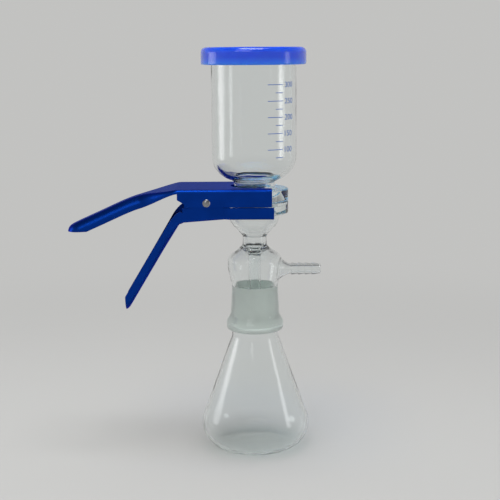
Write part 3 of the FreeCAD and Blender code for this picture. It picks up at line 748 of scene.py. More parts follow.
def panel_glow(_colours):
    """White glow for gloss, for scattered light, and for glass only after a mirroring in it.

    The camera, shadows and straight views through glass don't see it.
    """
    material, tree, _ = new_finish("panel_glow")
    rays = add_node(tree, "LightPath").outputs
    unmirrored = reckon(tree, "LESS_THAN", rays["Glossy Depth"], UNBOUNCED)
    scattered = reckon(tree, "GREATER_THAN", rays["Diffuse Depth"], UNBOUNCED)
    either = reckon(tree, "MAXIMUM", unmirrored, scattered)
    hidden = reckon(tree, "MULTIPLY", rays["Is Transmission Ray"], either)
    hidden = reckon(tree, "MAXIMUM", hidden, rays["Is Camera Ray"])
    hidden = reckon(tree, "MAXIMUM", hidden, rays["Is Shadow Ray"])
    strength = reckon(tree, "MULTIPLY", kept_mark(tree, "glow"), PANEL_STRENGTH)
    light = add_node(tree, "Emission", {"Strength": strength}).outputs[0]
    clear = add_node(tree, "BsdfTransparent").outputs[0]
    mix_surface(tree, hidden, light, clear)
    return material


def finish(make):
    """A finish, made when it is first asked for."""
    made = bpy.data.materials.get(make.__name__)
    return made or make(bpy.context.scene.filtration_colours)


# ---------------------------------------------------------------- sizes read from the frame

def joint_heights(joint):
    """Foot and top of the ground cone: the flask's node ends at the cone's top."""
    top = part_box("receiving_flask")[1].z
    return top - joint.length, top


def on_cone(joint):
    """Test for the flask's ground face: r lies on the cone, and z between its ends."""
    foot, top = joint_heights(joint)

    def test(across, up):
        line = joint.large_radius - (up - foot) * joint.taper
        return (np.abs(across - line) < TOUCH) & (up > foot) & (up < top - joint.margin / 2)

    return test


def in_socket(joint, mouth):
    """Test for the socket's ground bore: from its mouth up to the cone's top, less a margin."""
    foot, top = joint_heights(joint)
    smallest = joint.large_radius - joint.length * joint.taper

    def test(across, up):
        line = joint.large_radius + joint.gap - (up - foot) * joint.taper
        wall = np.where(up > foot + joint.margin, line, mouth)
        return (across > smallest) & (across < wall + TOUCH) & (up < top - joint.margin)

    return test


def on_level(level):
    """Test for a sealing face: flat, at one height."""
    return lambda across, up: np.abs(up - level) < TOUCH / 10


def place_piece(obj, body, slot, *nodes):
    """Ride on a body and stand for CAD nodes; the slot is not used."""
    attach(obj, body)
    if nodes:
        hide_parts(*nodes)


# ---------------------------------------------------------------- pieces

class FILTRATION_OT_receiving_flask(bpy.types.Operator):
    """Conical flask: floor, rounded heel, cone, short neck and ground cone, carried round Z"""
    bl_idname = "filtration.receiving_flask"
    bl_label = "Receiving flask"

    def execute(self, context):
        scene = context.scene
        size, joint = scene.filtration_flask, scene.filtration_joint
        foot, top = joint_heights(joint)
        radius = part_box("receiving_flask")[1].y
        turn = math.pi / 2 + size.cone_angle
        corner = radius + size.heel_round * (math.tan(turn / 2) - 1)
        foot_ring = radius - size.heel_round - size.foot_width
        wall = [
            (0, size.push_up, 0),
            (foot_ring - size.push_slope, size.push_up, size.push_round),
            (foot_ring, 0, FOOT_RING_ROUND),
            (corner, 0, size.heel_round),
            (size.neck_radius, foot - size.neck_length, size.shoulder_round),
            (size.neck_radius, foot - joint.relief, JOINT_EDGE_ROUND),
        ]
        inside = parallel(wall, -size.wall)
        top_radius = joint.large_radius - joint.length * joint.taper
        cone = [(joint.large_radius, foot, JOINT_EDGE_ROUND), (top_radius, top, size.rim_round)]
        bore = [
            (top_radius - size.joint_wall, top, size.rim_round),
            (joint.large_radius - size.joint_wall, foot, size.bore_round),
            (inside[-1][0], foot - size.neck_length / 2, size.bore_round),
        ]
        points = rounded([*wall, *cone, *bore, *inside[-2::-1]], closed=False)
        name, ground = "receiving_flask_glass", on_cone(joint)
        obj = capped_shell(name, points, finish(blown_glass), ground=ground)
        place_piece(obj, "unit", "clear_glass", "receiving_flask")
        return {"FINISHED"}


def base_corners(size, joint, cup_flange, mouth):
    """Corners of the base's closed profile, and of its dome's two walls, from the flange down."""
    low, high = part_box("filter_base")
    face = high.z
    foot, top = joint_heights(joint)
    flange_bottom = face - size.flange_height
    bowl_bottom = flange_bottom - size.bowl_depth
    dome_top = bowl_bottom - size.stem_length
    dome_corner = top + size.dome_belly + size.dome_crown
    seal = dome_top - size.seal_drop
    drip_end = top - size.drip_reach

    def cone(up):
        return joint.large_radius - (up - foot) * joint.taper

    socket_foot = low.z + size.bead_height + size.bead_slope
    bowl = [
        (size.bowl_radius, flange_bottom, NECKING_ROUND),
        (size.bowl_radius, flange_bottom - size.bowl_straight, size.bowl_round),
        (size.stem_radius - size.stem_waist, bowl_bottom, size.bowl_foot_round),
    ]
    dome = [
        (size.stem_radius, bowl_bottom - size.stem_length / 2, 0),
        (size.stem_radius, dome_top, size.stem_round),
        (size.dome_radius + size.dome_bulge, dome_corner, size.shoulder_round),
        (size.dome_radius, top + size.dome_belly, size.belly_round),
        (cone(top) + size.socket_wall, top - joint.margin, size.dome_foot_round),
        (cone(socket_foot) + size.socket_wall, socket_foot, size.socket_foot_round),
    ]
    bead = [
        (size.bead_radius, low.z + size.bead_height, size.bead_round),
        (size.bead_radius, low.z, size.bead_round),
    ]
    ground_foot, ground_top = foot + joint.margin, top - joint.margin
    inner_dome = parallel(dome, size.dome_wall)
    vacuum_space = [
        (mouth, low.z, JOINT_EDGE_ROUND),
        (mouth, foot, 0),
        (cone(ground_foot) + joint.gap, ground_foot, 0),
        (cone(ground_top) + joint.gap, ground_top, 0),
        *inner_dome[-3:1:-1],
        (size.inner_stem_radius, dome_top - size.seal_thickness, SEAL_ROUND),
        (size.inner_stem_radius, seal, size.stem_round),
        (size.drip_radius, seal - size.seal_cone, NECKING_ROUND),
        (size.drip_radius, drip_end, CUT_ROUND),
    ]
    bore = size.drip_radius - size.drip_wall
    stem_bore = [
        (bore, drip_end, CUT_ROUND),
        (bore, seal - size.seal_cone + size.seal_thickness, NECKING_ROUND),
        (size.stem_radius - size.stem_wall, seal + size.seal_thickness, size.stem_round),
        *parallel(bowl, size.bowl_wall)[:0:-1],
        (size.bowl_radius - size.bowl_wall, face - size.disc_height, 0),
        (size.disc_radius, face - size.disc_height, 0),
        (size.disc_radius, face, 0),
    ]
    flange = [
        (cup_flange, face, size.flange_round / 2),
        (cup_flange, flange_bottom, size.flange_round),
    ]
    return [*flange, *bowl, *dome[1:], *bead, *vacuum_space, *stem_bore], dome, inner_dome


def beside_arm(points, axis):
    """Which points of the base's profile lie in the two walls that the arm goes through."""
    near = np.abs(points[:, 1] - axis) < PATCH_HALF_HEIGHT
    return near & (points[:, 0] > PATCH_CLEAR_RADIUS)


def in_patch(steps):
    """Which numbers of quads from the patch's middle lie in the patch."""
    return (steps >= -PATCH_HALF) & (steps < PATCH_HALF)


def uniform_rows(points, run, fine, rows_up):
    """The rows of a run of the profile replaced by others, with r read from a fine outline."""
    order = np.argsort(fine[:, 1])
    across = np.interp(rows_up, fine[order, 1], fine[order, 0])
    first = np.flatnonzero(run)[0]
    new = np.stack([across, rows_up], -1)
    return np.concatenate([points[:first], new, points[first + run.sum():]]), first


def patch_border(middle_row, up_sign):
    """Grid numbers of the patch's border: from its lower right corner up, left, down and right."""
    side = np.arange(-PATCH_HALF, PATCH_HALF)
    full = np.full(2 * PATCH_HALF, PATCH_HALF)
    across = np.concatenate([full, -side, -full, side])
    up = np.concatenate([side, full, -side, -full])
    return (middle_row + up_sign * up) * COLUMNS + across % COLUMNS


def rings_about(axis, x, radius, around):
    """Rings round the arm's axis: (x, r cos a, axis + r sin a)."""
    return stacked(x, radius * np.cos(around), axis + radius * np.sin(around))


class FILTRATION_OT_filter_base(bpy.types.Operator):
    """Filter base: a closed profile round Z, opened on one side for an arm that grows out of it.

    The arm is a stack of rings.  They start as the rectangle left out of the dome's grid, become an
    ellipse on the dome, leave it along cubic curves to the round tube, follow the barb to its tip
    and come back through the bore to the rectangle left out of the dome's inner grid.
    """
    bl_idname = "filtration.filter_base"
    bl_label = "Filter base"

    def execute(self, context):
        scene = context.scene
        size, joint, arm = scene.filtration_base, scene.filtration_joint, scene.filtration_arm
        tip, flange_radius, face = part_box("filter_base")[1]
        mouth = scene.filtration_flask.neck_radius + size.mouth_gap
        top = joint_heights(joint)[1]
        axis = top + size.dome_belly + size.dome_crown - arm.drop
        corners, *walls = base_corners(size, joint, flange_radius, mouth)
        fine_outer, fine_inner = (rounded(wall, False, FINE_TURN) for wall in walls)

        points = clockwise(rounded(corners))
        points, outer_row, inner_row = self.with_patch_rows(points, axis, fine_outer, fine_inner)
        kept = self.outside_patch(len(points), outer_row, inner_row)
        middle = ((points + np.roll(points, -1, axis=0)) / 2).T
        ground = np.repeat(in_socket(joint, mouth)(*middle) | on_level(face)(*middle), COLUMNS)
        body = turned(points, COLUMNS).reshape(-1, 3)

        around = np.radians(FIRST_CORNER + np.arange(8 * PATCH_HALF) * 360 / (8 * PATCH_HALF))
        borders = patch_border(outer_row, -1), patch_border(inner_row, 1)
        outer_rings = self.flare(body[borders[0]], fine_outer, axis, around, arm, 0)
        inner_rings = self.flare(body[borders[1]], fine_inner, axis, around, arm, arm.wall)
        tube = self.barb_outline(arm, tip)
        tube_rings = rings_about(axis, tube[:, :1], tube[:, 1:], around)
        rings = np.concatenate([outer_rings, tube_rings[1:-1], inner_rings[::-1]])
        arm_quads = self.strips(borders, rings, len(body))

        verts = np.concatenate([body, rings.reshape(-1, 3)])
        faces = np.concatenate([grid_quads(len(points), COLUMNS, True)[kept], arm_quads])
        verts, faces = self.trimmed(verts, faces)
        ground = np.concatenate([ground[kept], np.zeros(len(arm_quads), bool)])
        bowl_bottom = face - size.flange_height - size.bowl_depth
        seams = (
            (bowl_bottom, SEAM_REACH["bowl"]),
            (bowl_bottom - size.stem_length - size.seal_drop / 2, SEAM_REACH["seal"]),
            (top + size.seal_drop / 2, SEAM_REACH["dome"]),
            ((size.dome_radius, 0, axis), SEAM_REACH["arm"]),
            ((tip, 0, axis), SEAM_REACH["tip"]),
        )
        marks = {"ground": ground, "worked": worked_near(verts, seams)}
        obj = piece_from("filter_base_glass", verts, faces.tolist(), finish(blown_glass), **marks)
        place_piece(obj, "unit", "clear_glass", "filter_base")
        return {"FINISHED"}

    @staticmethod
    def with_patch_rows(points, axis, fine_outer, fine_inner):
        """Profile with even rows across the patch in both of its walls, and each wall's middle row."""
        heights = np.linspace(-PATCH_HALF_HEIGHT, PATCH_HALF_HEIGHT, 2 * PATCH_HALF + 1)
        lowest = int(np.argmin(points[:, 1]))
        inner_run = beside_arm(points, axis) & (np.arange(len(points)) > lowest)
        points, inner_first = uniform_rows(points, inner_run, fine_inner, axis + heights)
        outer_run = beside_arm(points, axis) & (np.arange(len(points)) < lowest)
        points, outer_first = uniform_rows(points, outer_run, fine_outer, axis - heights)
        inner_first += len(heights) - outer_run.sum()
        return points, outer_first + PATCH_HALF, inner_first + PATCH_HALF

    @staticmethod
    def outside_patch(rows, outer_row, inner_row):
        """Which quads of the grid stay: all but the patch's own, in both walls."""
        row, column = np.divmod(np.arange(rows * COLUMNS), COLUMNS)
        side = (column + COLUMNS // 2) % COLUMNS - COLUMNS // 2
        return ~(in_patch(side) & (in_patch(row - outer_row) | in_patch(row - inner_row)))

    @staticmethod
    def strips(borders, rings, first):
        """Quads from the outer border over all rings to the inner border; rings are numbered on."""
        numbers = first + np.arange(rings[..., 0].size).reshape(rings.shape[:2])
        numbers = np.concatenate([borders[0][None], numbers, borders[1][None]])
        after = np.roll(numbers, -1, axis=1)
        return np.stack([numbers[:-1], after[:-1], after[1:], numbers[1:]], -1).reshape(-1, 4)

    @staticmethod
    def trimmed(verts, faces):
        """The points that faces use, and the faces with these points' new numbers."""
        used = np.zeros(len(verts), bool)
        used[faces] = True
        return verts[used], (np.cumsum(used) - 1)[faces]

    @staticmethod
    def flare(corner, outline, axis, around, arm, inset):
        """Rings from the patch's corners to an ellipse on the dome and along cubics to the tube.

        A place (u, v) on the dome is (r cos(u/r0), r sin(u/r0), axis + v) with r read at its height.
        The cubics are h00 A + h10 S + h01 B + h11 X, where S lies in the dome towards the arm's axis
        and X along the tube.
        """
        order = np.argsort(outline[:, 1])
        ups, acrosses = outline[order, 1], outline[order, 0]
        middle_radius = np.interp(axis, ups, acrosses)

        def on_dome(u, v):
            radius, turn = np.interp(axis + v, ups, acrosses), u / middle_radius
            return stacked(radius * np.cos(turn), radius * np.sin(turn), axis + v)

        start_u = np.arctan2(corner[:, 1], corner[:, 0]) * middle_radius
        start_v = corner[:, 2] - axis
        end_u = (arm.flare_across - inset) * np.cos(around)
        end_v = (arm.flare_up - inset) * np.sin(around)
        share = (np.arange(1, MORPH_STEPS + 1) / MORPH_STEPS)[:, None]
        morph = on_dome(start_u + (end_u - start_u) * share, start_v + (end_v - start_v) * share)

        begin = morph[-1]
        inward = on_dome(end_u * FLARE_LOOK, end_v * FLARE_LOOK) - begin
        inward *= arm.flare_reach / np.linalg.norm(inward, axis=-1, keepdims=True)
        end = rings_about(axis, arm.tube_start, arm.tube_radius - inset, around)
        outward = np.array([arm.flare_reach, 0, 0])
        t = (np.arange(1, FLARE_STEPS + 1) / FLARE_STEPS)[:, None, None]
        cubic = (
            (2 * t**3 - 3 * t**2 + 1) * begin + (t**3 - 2 * t**2 + t) * inward
            + (3 * t**2 - 2 * t**3) * end + (t**3 - t**2) * outward
        )
        return np.concatenate([morph, cubic])

    @staticmethod
    def barb_outline(arm, tip):
        """Profile (x, radius) from the flare's end over the serrations, round the tip and back."""
        corners = [(arm.tube_start, arm.tube_radius, 0)]
        for i in range(arm.barb_count):
            x = arm.barb_start + i * arm.barb_pitch
            corners.append((x - arm.barb_step, arm.tube_radius, BARB_ROOT_ROUND))
            corners.append((x, arm.barb_radius, arm.barb_round))
        bore = arm.tube_radius - arm.wall
        corners += [
            (arm.barb_start + arm.barb_count * arm.barb_pitch, arm.tube_radius, SEAL_ROUND),
            (tip, arm.tube_radius, arm.tip_round),
            (tip, bore, CUT_ROUND),
            (arm.tube_start, bore, 0),
        ]
        return rounded(corners, closed=False)


class FILTRATION_OT_funnel_cup(bpy.types.Operator):
    """Funnel cup: ground flange, neck, rounded bottom, straight wall and thick rim, carried round Z"""
    bl_idname = "filtration.funnel_cup"
    bl_label = "Funnel cup"

    def execute(self, context):
        size = context.scene.filtration_cup
        low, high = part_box("funnel_cup")
        flange_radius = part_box("filter_base")[1].y
        face, rim, rim_radius = low.z, high.z, high.y
        flange_top = face + size.flange_height
        bottom = flange_top + size.neck_height
        outer_radius = size.bore_radius + size.wall
        throat = size.neck_radius - size.neck_wall
        corners = [
            (size.mouth_radius, face, 0),
            (flange_radius, face, size.flange_round / 2),
            (flange_radius, flange_top, size.flange_round),
            (size.neck_radius, flange_top, size.melt_round),
            (size.neck_radius, bottom, size.melt_round),
            (outer_radius, bottom, size.bottom_round),
            (outer_radius, rim - size.rim_height - size.rim_flare, size.rim_flare),
            (rim_radius, rim - size.rim_height, size.rim_round),
            (rim_radius, rim, size.melt_round),
            (size.bore_radius + size.rim_bore_flare, rim, size.melt_round / 2),
            (size.bore_radius, rim - size.rim_height, size.rim_bore_round),
            (size.bore_radius, bottom + size.wall, size.bottom_round - size.wall),
            (throat, bottom + size.wall, size.melt_round),
            (throat, flange_top, size.throat_round),
        ]
        name, points, ground = "funnel_cup_glass", rounded(corners), on_level(face)
        seams = [(flange_top + size.neck_height / 2, SEAM_REACH["neck"])]
        obj = closed_shell(name, points, finish(blown_glass), seams, ground=ground)
        place_piece(obj, "unit", "clear_glass", "funnel_cup")
        return {"FINISHED"}


class FILTRATION_OT_funnel_lid(bpy.types.Operator):
    """Silicone cap: flat top, skirt and a lip that reaches in under the cup's rim, carried round Z"""
    bl_idname = "filtration.funnel_lid"
    bl_label = "Funnel lid"

    def execute(self, context):
        size = context.scene.filtration_lid
        low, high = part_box("funnel_lid")
        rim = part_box("funnel_cup")[1]
        bore = rim.y + size.gap
        lip = bore - size.lip_reach
        corners = [
            (0, rim.z, 0),
            (bore, rim.z, CUT_ROUND),
            (bore, low.z + size.lip_height + size.lip_reach, CUT_ROUND),
            (lip, low.z + size.lip_height, size.lip_round),
            (lip, low.z, size.lip_round),
            (high.y, low.z, size.foot),
            (high.y, high.z, size.edge),
            (0, high.z, 0),
        ]

        # faces that take the painted glow of light through the lid
        def inside(across, up):
            return (across < bore + TOUCH) & (up < rim.z + TOUCH)

        name, points = "funnel_lid_silicone", rounded(corners, closed=False)
        obj = capped_shell(name, points, finish(lid_silicone), inside=inside)
        place_piece(obj, "unit", "blue_silicone", "funnel_lid")
        return {"FINISHED"}


class FILTRATION_OT_scale(bpy.types.Operator):
    """Volume scale: lines and numerals of enamel, wrapped on the cup's wall"""
    bl_idname = "filtration.scale"
    bl_label = "Printed scale"

    def execute(self, context):
        size, cup = context.scene.filtration_scale, context.scene.filtration_cup
        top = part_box("funnel_cup")[1].z - size.top
        radius = cup.bore_radius + cup.wall
        lines = []
        for i in range(2 * len(SCALE_VOLUMES)):
            left = size.middle if i % 2 else size.left
            lines.append(self.line(radius, top - i * size.step / 2, left, size.right, size))
        verts = np.concatenate([points for points, _ in lines])
        faces = np.concatenate([quads + i * len(lines[0][0]) for i, (_, quads) in enumerate(lines)])
        pieces = [piece_from("scale_lines", verts, faces.tolist(), finish(printed_enamel))]
        for i, volume in enumerate(SCALE_VOLUMES):
            pieces.append(self.numeral(str(volume), radius, top - i * size.step, size))
        for piece in pieces:
            place_piece(piece, "unit", "scale_enamel")
        return {"FINISHED"}

    @staticmethod
    def on_wall(out, turn, up):
        """Places on the cup's wall: (R sin a, -R cos a, z)."""
        return stacked(out * np.sin(turn), -out * np.cos(turn), up)

    @classmethod
    def line(cls, radius, up, left, right, size):
        """Closed strip: a flattened loop of four corners carried along an arc, with end faces."""
        half = size.line / 2
        top = half * LINE_TOP
        loop = np.array([(FILM_LIFT, -half), (size.film, -top), (size.film, top), (FILM_LIFT, half)])
        angles = np.linspace(left, right, LINE_STEPS + 1)[:, None]
        points = cls.on_wall(radius + loop[:, 0], angles, up + loop[:, 1]).reshape(-1, 3)
        ends = np.array([[0, 1, 2, 3], 4 * LINE_STEPS + np.array([3, 2, 1, 0])])
        return points, np.concatenate([grid_quads(LINE_STEPS + 1, 4, False), ends])

    @staticmethod
    def flat_numeral(text, size):
        """Closed mesh of a numeral that lies flat."""
        curve = bpy.data.curves.new("numeral_" + text, "FONT")
        curve.body = text
        curve.size = size.digits / FONT_HEIGHT
        curve.extrude = size.film / 2
        curve.offset = -size.thinning
        maker = bpy.data.objects.new("numeral_" + text, curve)
        bpy.context.scene.collection.objects.link(maker)
        depsgraph = bpy.context.evaluated_depsgraph_get()
        mesh = bpy.data.meshes.new_from_object(maker.evaluated_get(depsgraph))
        bpy.data.objects.remove(maker)
        welded = bmesh.new()
        welded.from_mesh(mesh)
        bmesh.ops.remove_doubles(welded, verts=welded.verts, dist=WELD)
        bmesh.ops.recalc_face_normals(welded, faces=welded.faces)
        welded.to_mesh(mesh)
        welded.free()
        mesh.materials.clear()
        mesh.materials.append(finish(printed_enamel))
        return mesh

    @classmethod
    def numeral(cls, text, radius, up, size):
        """Numeral wrapped on the wall: across becomes an arc, depth a radius, up a height."""
        mesh = cls.flat_numeral(text, size)
        mesh.name = "scale_" + text
        flat = np.empty(len(mesh.vertices) * 3)
        mesh.vertices.foreach_get("co", flat)
        across, high, deep = flat.reshape(-1, 3).T
        high -= (high.min() + high.max()) / 2
        across *= size.widening
        turn = size.text + (across - across.min()) / radius
        wrapped = cls.on_wall(radius + size.film / 2 + deep + FILM_LIFT, turn, up + high)
        mesh.vertices.foreach_set("co", wrapped.ravel())
        mesh.update()
        obj = bpy.data.objects.new("scale_" + text, mesh)
        bpy.context.scene.collection.objects.link(obj)
        return obj


class FILTRATION_OT_clamp_spring(bpy.types.Operator):
    """Torsion spring: a helix about the rivet with a straight leg at each end, swept by a round wire"""
    bl_idname = "filtration.clamp_spring"
    bl_label = "Clamp spring"

    def execute(self, context):
        size = context.scene.filtration_spring
        rivet_low, rivet_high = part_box("clamp_pivot_pin")
        pin = (rivet_low + rivet_high) / 2
        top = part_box("clamp_upper_lever")[1].z
        up = self.leg_slope(size, top - size.sheet - pin.z)
        slope = math.atan2(size.slope_drop, size.slope_run)
        base_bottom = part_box("filter_base")[1].z - context.scene.filtration_base.flange_height
        plate = base_bottom - size.sheet - size.joggle * math.tan(slope)
        down = slope + self.leg_slope(size, (pin.z - plate) * math.cos(slope) - size.sheet)
        turns = size.turns + (math.pi - up - down) / (2 * math.pi)
        width = turns * size.pitch
        half = Vector((0, width / 2, 0))
        path, way, out = self.route(size, np.array(pin - half), up, turns)
        verts, faces = self.swept(path, way, out, size.wire_radius)
        obj = piece_from("clamp_spring_wire", verts, faces, finish(drawn_steel))
        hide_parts("clamp_spring")
        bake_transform(obj)
        return {"FINISHED"}

    @staticmethod
    def route(size, centre, up, turns):
        """Places along the wire from one leg's end to the other's, with directions and normals.

        The coil is centre + R (cos t a + sin t f) + pitch t / (2 pi) y.  The unit vector f points along
        the first leg, a is at right angles to it, and the legs go on straight from the coil's ends.
        """
        radial = np.array([math.sin(up), 0, math.cos(up)])
        forward = np.array([math.cos(up), 0, -math.sin(up)])
        across = np.array([0, 1, 0])
        turn = np.linspace(0, turns * 2 * math.pi, COIL_POINTS)[:, None]
        climb = size.pitch / (2 * math.pi)
        out = np.cos(turn) * radial + np.sin(turn) * forward
        coil = centre + size.coil_radius * out + climb * turn * across
        way = size.coil_radius * (np.cos(turn) * forward - np.sin(turn) * radial) + climb * across
        way /= np.linalg.norm(way, axis=1, keepdims=True)
        reach = np.linspace(size.leg, 0, LEG_POINTS + 1)[:-1, None]
        path = np.concatenate([coil[0] - way[0] * reach, coil, coil[-1] + way[-1] * reach[::-1]])
        way, out = (np.pad(v, ((LEG_POINTS, LEG_POINTS), (0, 0)), "edge") for v in (way, out))
        return path, way, out

    @staticmethod
    def swept(path, way, out, radius):
        """Round wire along a route, with bevelled ends: place + radius (cos a out + sin a side)."""
        path, way, out = (np.pad(v, ((1, 1), (0, 0)), "edge") for v in (path, way, out))
        side = np.cross(way, out)
        path[1] += way[0] * WIRE_END
        path[-2] -= way[-1] * WIRE_END
        wire = np.full((len(path), 1, 1), radius)
        wire[[0, -1]] *= WIRE_END_SHARE
        around = np.linspace(0, 2 * math.pi, WIRE_POINTS + 1)[:-1, None]
        tube = path[:, None] + wire * (np.cos(around) * out[:, None] + np.sin(around) * side[:, None])
        verts = np.concatenate([tube.reshape(-1, 3), path[:1], path[-1:]])
        return verts, [face[::-1] for face in capped_faces(len(path), WIRE_POINTS)]

    @staticmethod
    def leg_slope(size, room):
        """Angle at which a leg leaves the coil so that its end lies just under a plate."""
        height = room - size.wire_radius - size.end_gap
        reach = math.hypot(size.coil_radius, size.leg)
        return math.asin(height / reach) - math.atan2(size.coil_radius, size.leg)


class FILTRATION_OT_clamp_finishes(bpy.types.Operator):
    """Finishes of the CAD nodes that stay: levers, rivet and sintered disc"""
    bl_idname = "filtration.clamp_finishes"
    bl_label = "Levers, rivet and disc"

    def execute(self, context):
        finishes = {
            "clamp_upper_lever": anodised_sheet,
            "clamp_lower_lever": anodised_sheet,
            "clamp_pivot_pin": drawn_steel,
            "fritted_disc": sintered_grains,
        }
        for node, make in finishes.items():
            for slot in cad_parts[node].material_slots:
                slot.material = finish(make)
        return {"FINISHED"}


class FILTRATION_OT_stage(bpy.types.Operator):
    """Camera, soft studio lamps, pale floor and an even pale surround"""
    bl_idname = "filtration.stage"
    bl_label = "Stage"

    def execute(self, context):
        scene = context.scene
        colours = scene.filtration_colours
        self.camera(scene)
        self.surround(scene, colours)
        self.floor(colours)
        target = Vector((0, 0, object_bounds()[1].z / 2))
        for name, (place, width, power) in LAMPS.items():
            self.lamp(scene, name, Vector(place), target, width, power)
        for name, (place, width, height) in PANELS.items():
            self.panel(name, Vector(place), target, width, height)
        scene.view_settings.view_transform = "Standard"
        scene.cycles.max_bounces = MOST_BOUNCES
        scene.cycles.transmission_bounces = MOST_BOUNCES
        scene.cycles.transparent_max_bounces = MOST_BOUNCES
        scene.cycles.caustics_reflective = False
        return {"FINISHED"}

    @staticmethod
    def camera(scene):
        """Long lens, at the height of the unit's lid and tilted down."""
        data = bpy.data.cameras.new("camera")
        data.sensor_width = 36
        data.lens = LENS
        obj = bpy.data.objects.new("camera", data)
        obj.location = CAMERA_PLACE
        obj.rotation_euler = Euler((math.radians(90 - CAMERA_TILT), math.radians(CAMERA_ROLL), 0))
        scene.collection.objects.link(obj)
        scene.camera = obj

    @staticmethod
    def seen(tree):
        """1 for rays that show a surround, straight or in gloss and glass; 0 for those it lights by."""
        rays = add_node(tree, "LightPath").outputs
        gloss = reckon(tree, "MAXIMUM", rays["Is Camera Ray"], rays["Is Glossy Ray"])
        either = reckon(tree, "MAXIMUM", gloss, rays["Is Transmission Ray"])
        unscattered = reckon(tree, "LESS_THAN", rays["Diffuse Depth"], UNBOUNCED)
        return reckon(tree, "MULTIPLY", either, unscattered)

    @classmethod
    def surround(cls, scene, colours):
        """World that shows a pale backdrop, dark overhead, and lights the unit with other greys."""
        world = bpy.data.worlds.new("surround")
        world.use_nodes = True
        tree = world.node_tree
        way = add_node(tree, "TexCoord").outputs["Generated"]
        up = add_node(tree, "SeparateXYZ", {0: way}).outputs["Z"]
        sky = ranged(tree, up, *SKY, 0.0, 1.0)
        shade = mixed(tree, sky, colours.backdrop, colours.zenith)
        light = mixed(tree, sky, colours.low_light, colours.high_light)
        set_inputs(tree.nodes["Background"], {"Color": mixed(tree, cls.seen(tree), light, shade)})
        world.cycles.sampling_method = "NONE"
        scene.world = world

    @classmethod
    def floor(cls, colours):
        """Wide disc of floor: lit and shadowed under the unit, the even backdrop further off."""
        material, tree, shader = new_finish("stage_floor")
        inputs = {"Base Color": (*colours.floor, 1), "Roughness": 0.9, "Specular IOR Level": 0.2}
        set_inputs(shader, inputs)
        place = add_node(tree, "TexCoord").outputs["Object"]
        far = add_node(tree, "VectorMath", {0: place}, operation="LENGTH").outputs["Value"]
        share = ranged(tree, far, *FLOOR_FADE, 0.0, 1.0, "SMOOTHSTEP")
        shade = mixed(tree, cls.seen(tree), colours.low_light, colours.backdrop)
        glow = add_node(tree, "Emission", {"Color": shade, "Strength": 1.0}).outputs[0]
        mix_surface(tree, share, shader.outputs[0], glow)
        rows, columns = len(FLOOR_RINGS), FLOOR_COLUMNS
        rings = np.stack([FLOOR_RINGS, np.zeros(rows)], -1)
        verts = np.concatenate([turned(rings, columns).reshape(-1, 3), [[0, 0, 0]]])
        verts[:, 2] -= FLOOR_DROP
        here = np.arange(columns)
        inmost = (rows - 1) * columns
        fan = np.stack(
            [np.full(columns, rows * columns), inmost + here, inmost + (here + 1) % columns], -1
        )
        quads = grid_quads(rows, columns, False)[:, ::-1]
        piece_from("stage_floor", verts, quads.tolist() + fan.tolist(), material)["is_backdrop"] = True

    @staticmethod
    def lamp(scene, name, place, target, width, power):
        """Square soft lamp turned towards a target; it lights, and shows in gloss only."""
        data = bpy.data.lights.new(name, "AREA")
        data.size = width
        data.energy = power
        obj = bpy.data.objects.new(name, data)
        obj.location = place
        obj.rotation_euler = (target - place).to_track_quat("-Z", "Y").to_euler()
        obj.visible_camera = False
        obj.visible_transmission = False
        scene.collection.objects.link(obj)

    @staticmethod
    def panel(name, place, target, width, height):
        """Panel that faces a target, with soft edges: its glow is (sin pi u sin pi v)^PANEL_EDGE."""
        toward = (target - place).normalized()
        side = Vector((0, 0, 1)).cross(toward).normalized()
        rise = toward.cross(side)
        u, v = np.meshgrid(*[np.linspace(0, 1, PANEL_STEPS + 1)] * 2)
        across, up = (u - 0.5)[..., None] * width, (v - 0.5)[..., None] * height
        points = np.array(place) + across * np.array(side) + up * np.array(rise)
        glow = np.clip(np.sin(np.pi * u) * np.sin(np.pi * v), 0, 1) ** PANEL_EDGE
        i, j = np.meshgrid(np.arange(PANEL_STEPS), np.arange(PANEL_STEPS), indexing="ij")
        corner = (i * (PANEL_STEPS + 1) + j).ravel()
        below = corner + PANEL_STEPS + 1
        quads = np.stack([corner, corner + 1, below + 1, below], -1)
        piece_from(name, points, quads.tolist(), finish(panel_glow), glow=glow.ravel())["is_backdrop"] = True


# ---------------------------------------------------------------- add-on

OPERATORS = (
    FILTRATION_OT_receiving_flask,
    FILTRATION_OT_filter_base,
    FILTRATION_OT_funnel_cup,
    FILTRATION_OT_funnel_lid,
    FILTRATION_OT_scale,
    FILTRATION_OT_clamp_spring,
    FILTRATION_OT_clamp_finishes,
    FILTRATION_OT_stage,
)


class FILTRATION_PT_panel(bpy.types.Panel):
    """Sizes, colours and makers of the filtration unit"""
    bl_label = "Vacuum filtration unit"
    bl_idname = "FILTRATION_PT_panel"
    bl_space_type = "VIEW_3D"
    bl_region_type = "UI"
    bl_category = "Filtration"

    def draw(self, context):
        for operator in OPERATORS:
            self.layout.operator(operator.bl_idname)
        for name, group in GROUPS.items():
            box = self.layout.box()
            box.label(text=group.__doc__)
            for key in group.__annotations__:
                box.prop(getattr(context.scene, name), key)


def register():
    """Register the groups, the operators and the panel."""
    for name, group in GROUPS.items():
        bpy.utils.register_class(group)
        setattr(bpy.types.Scene, name, bpy.props.PointerProperty(type=group))
    for item in (*OPERATORS, FILTRATION_PT_panel):
        bpy.utils.register_class(item)


def unregister():
    """Take everything back in reverse order."""
    for item in (FILTRATION_PT_panel, *reversed(OPERATORS)):
        bpy.utils.unregister_class(item)
    for name, group in reversed(GROUPS.items()):
        delattr(bpy.types.Scene, name)
        bpy.utils.unregister_class(group)


def main():
    """Build everything."""
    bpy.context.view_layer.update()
    register()
    for operator in OPERATORS:
        space, name = operator.bl_idname.split(".")
        getattr(getattr(bpy.ops, space), name)()


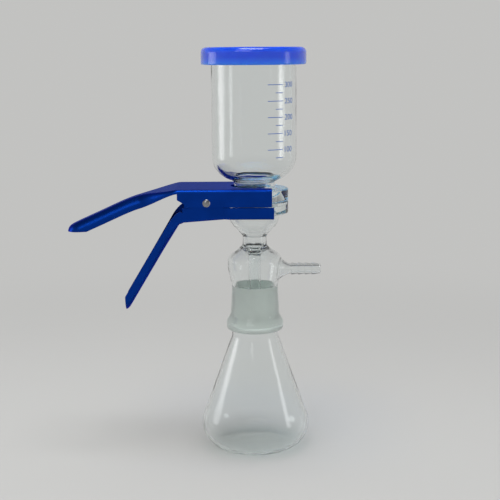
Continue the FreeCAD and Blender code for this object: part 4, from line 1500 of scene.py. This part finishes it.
if __name__ == "__main__":
    main()
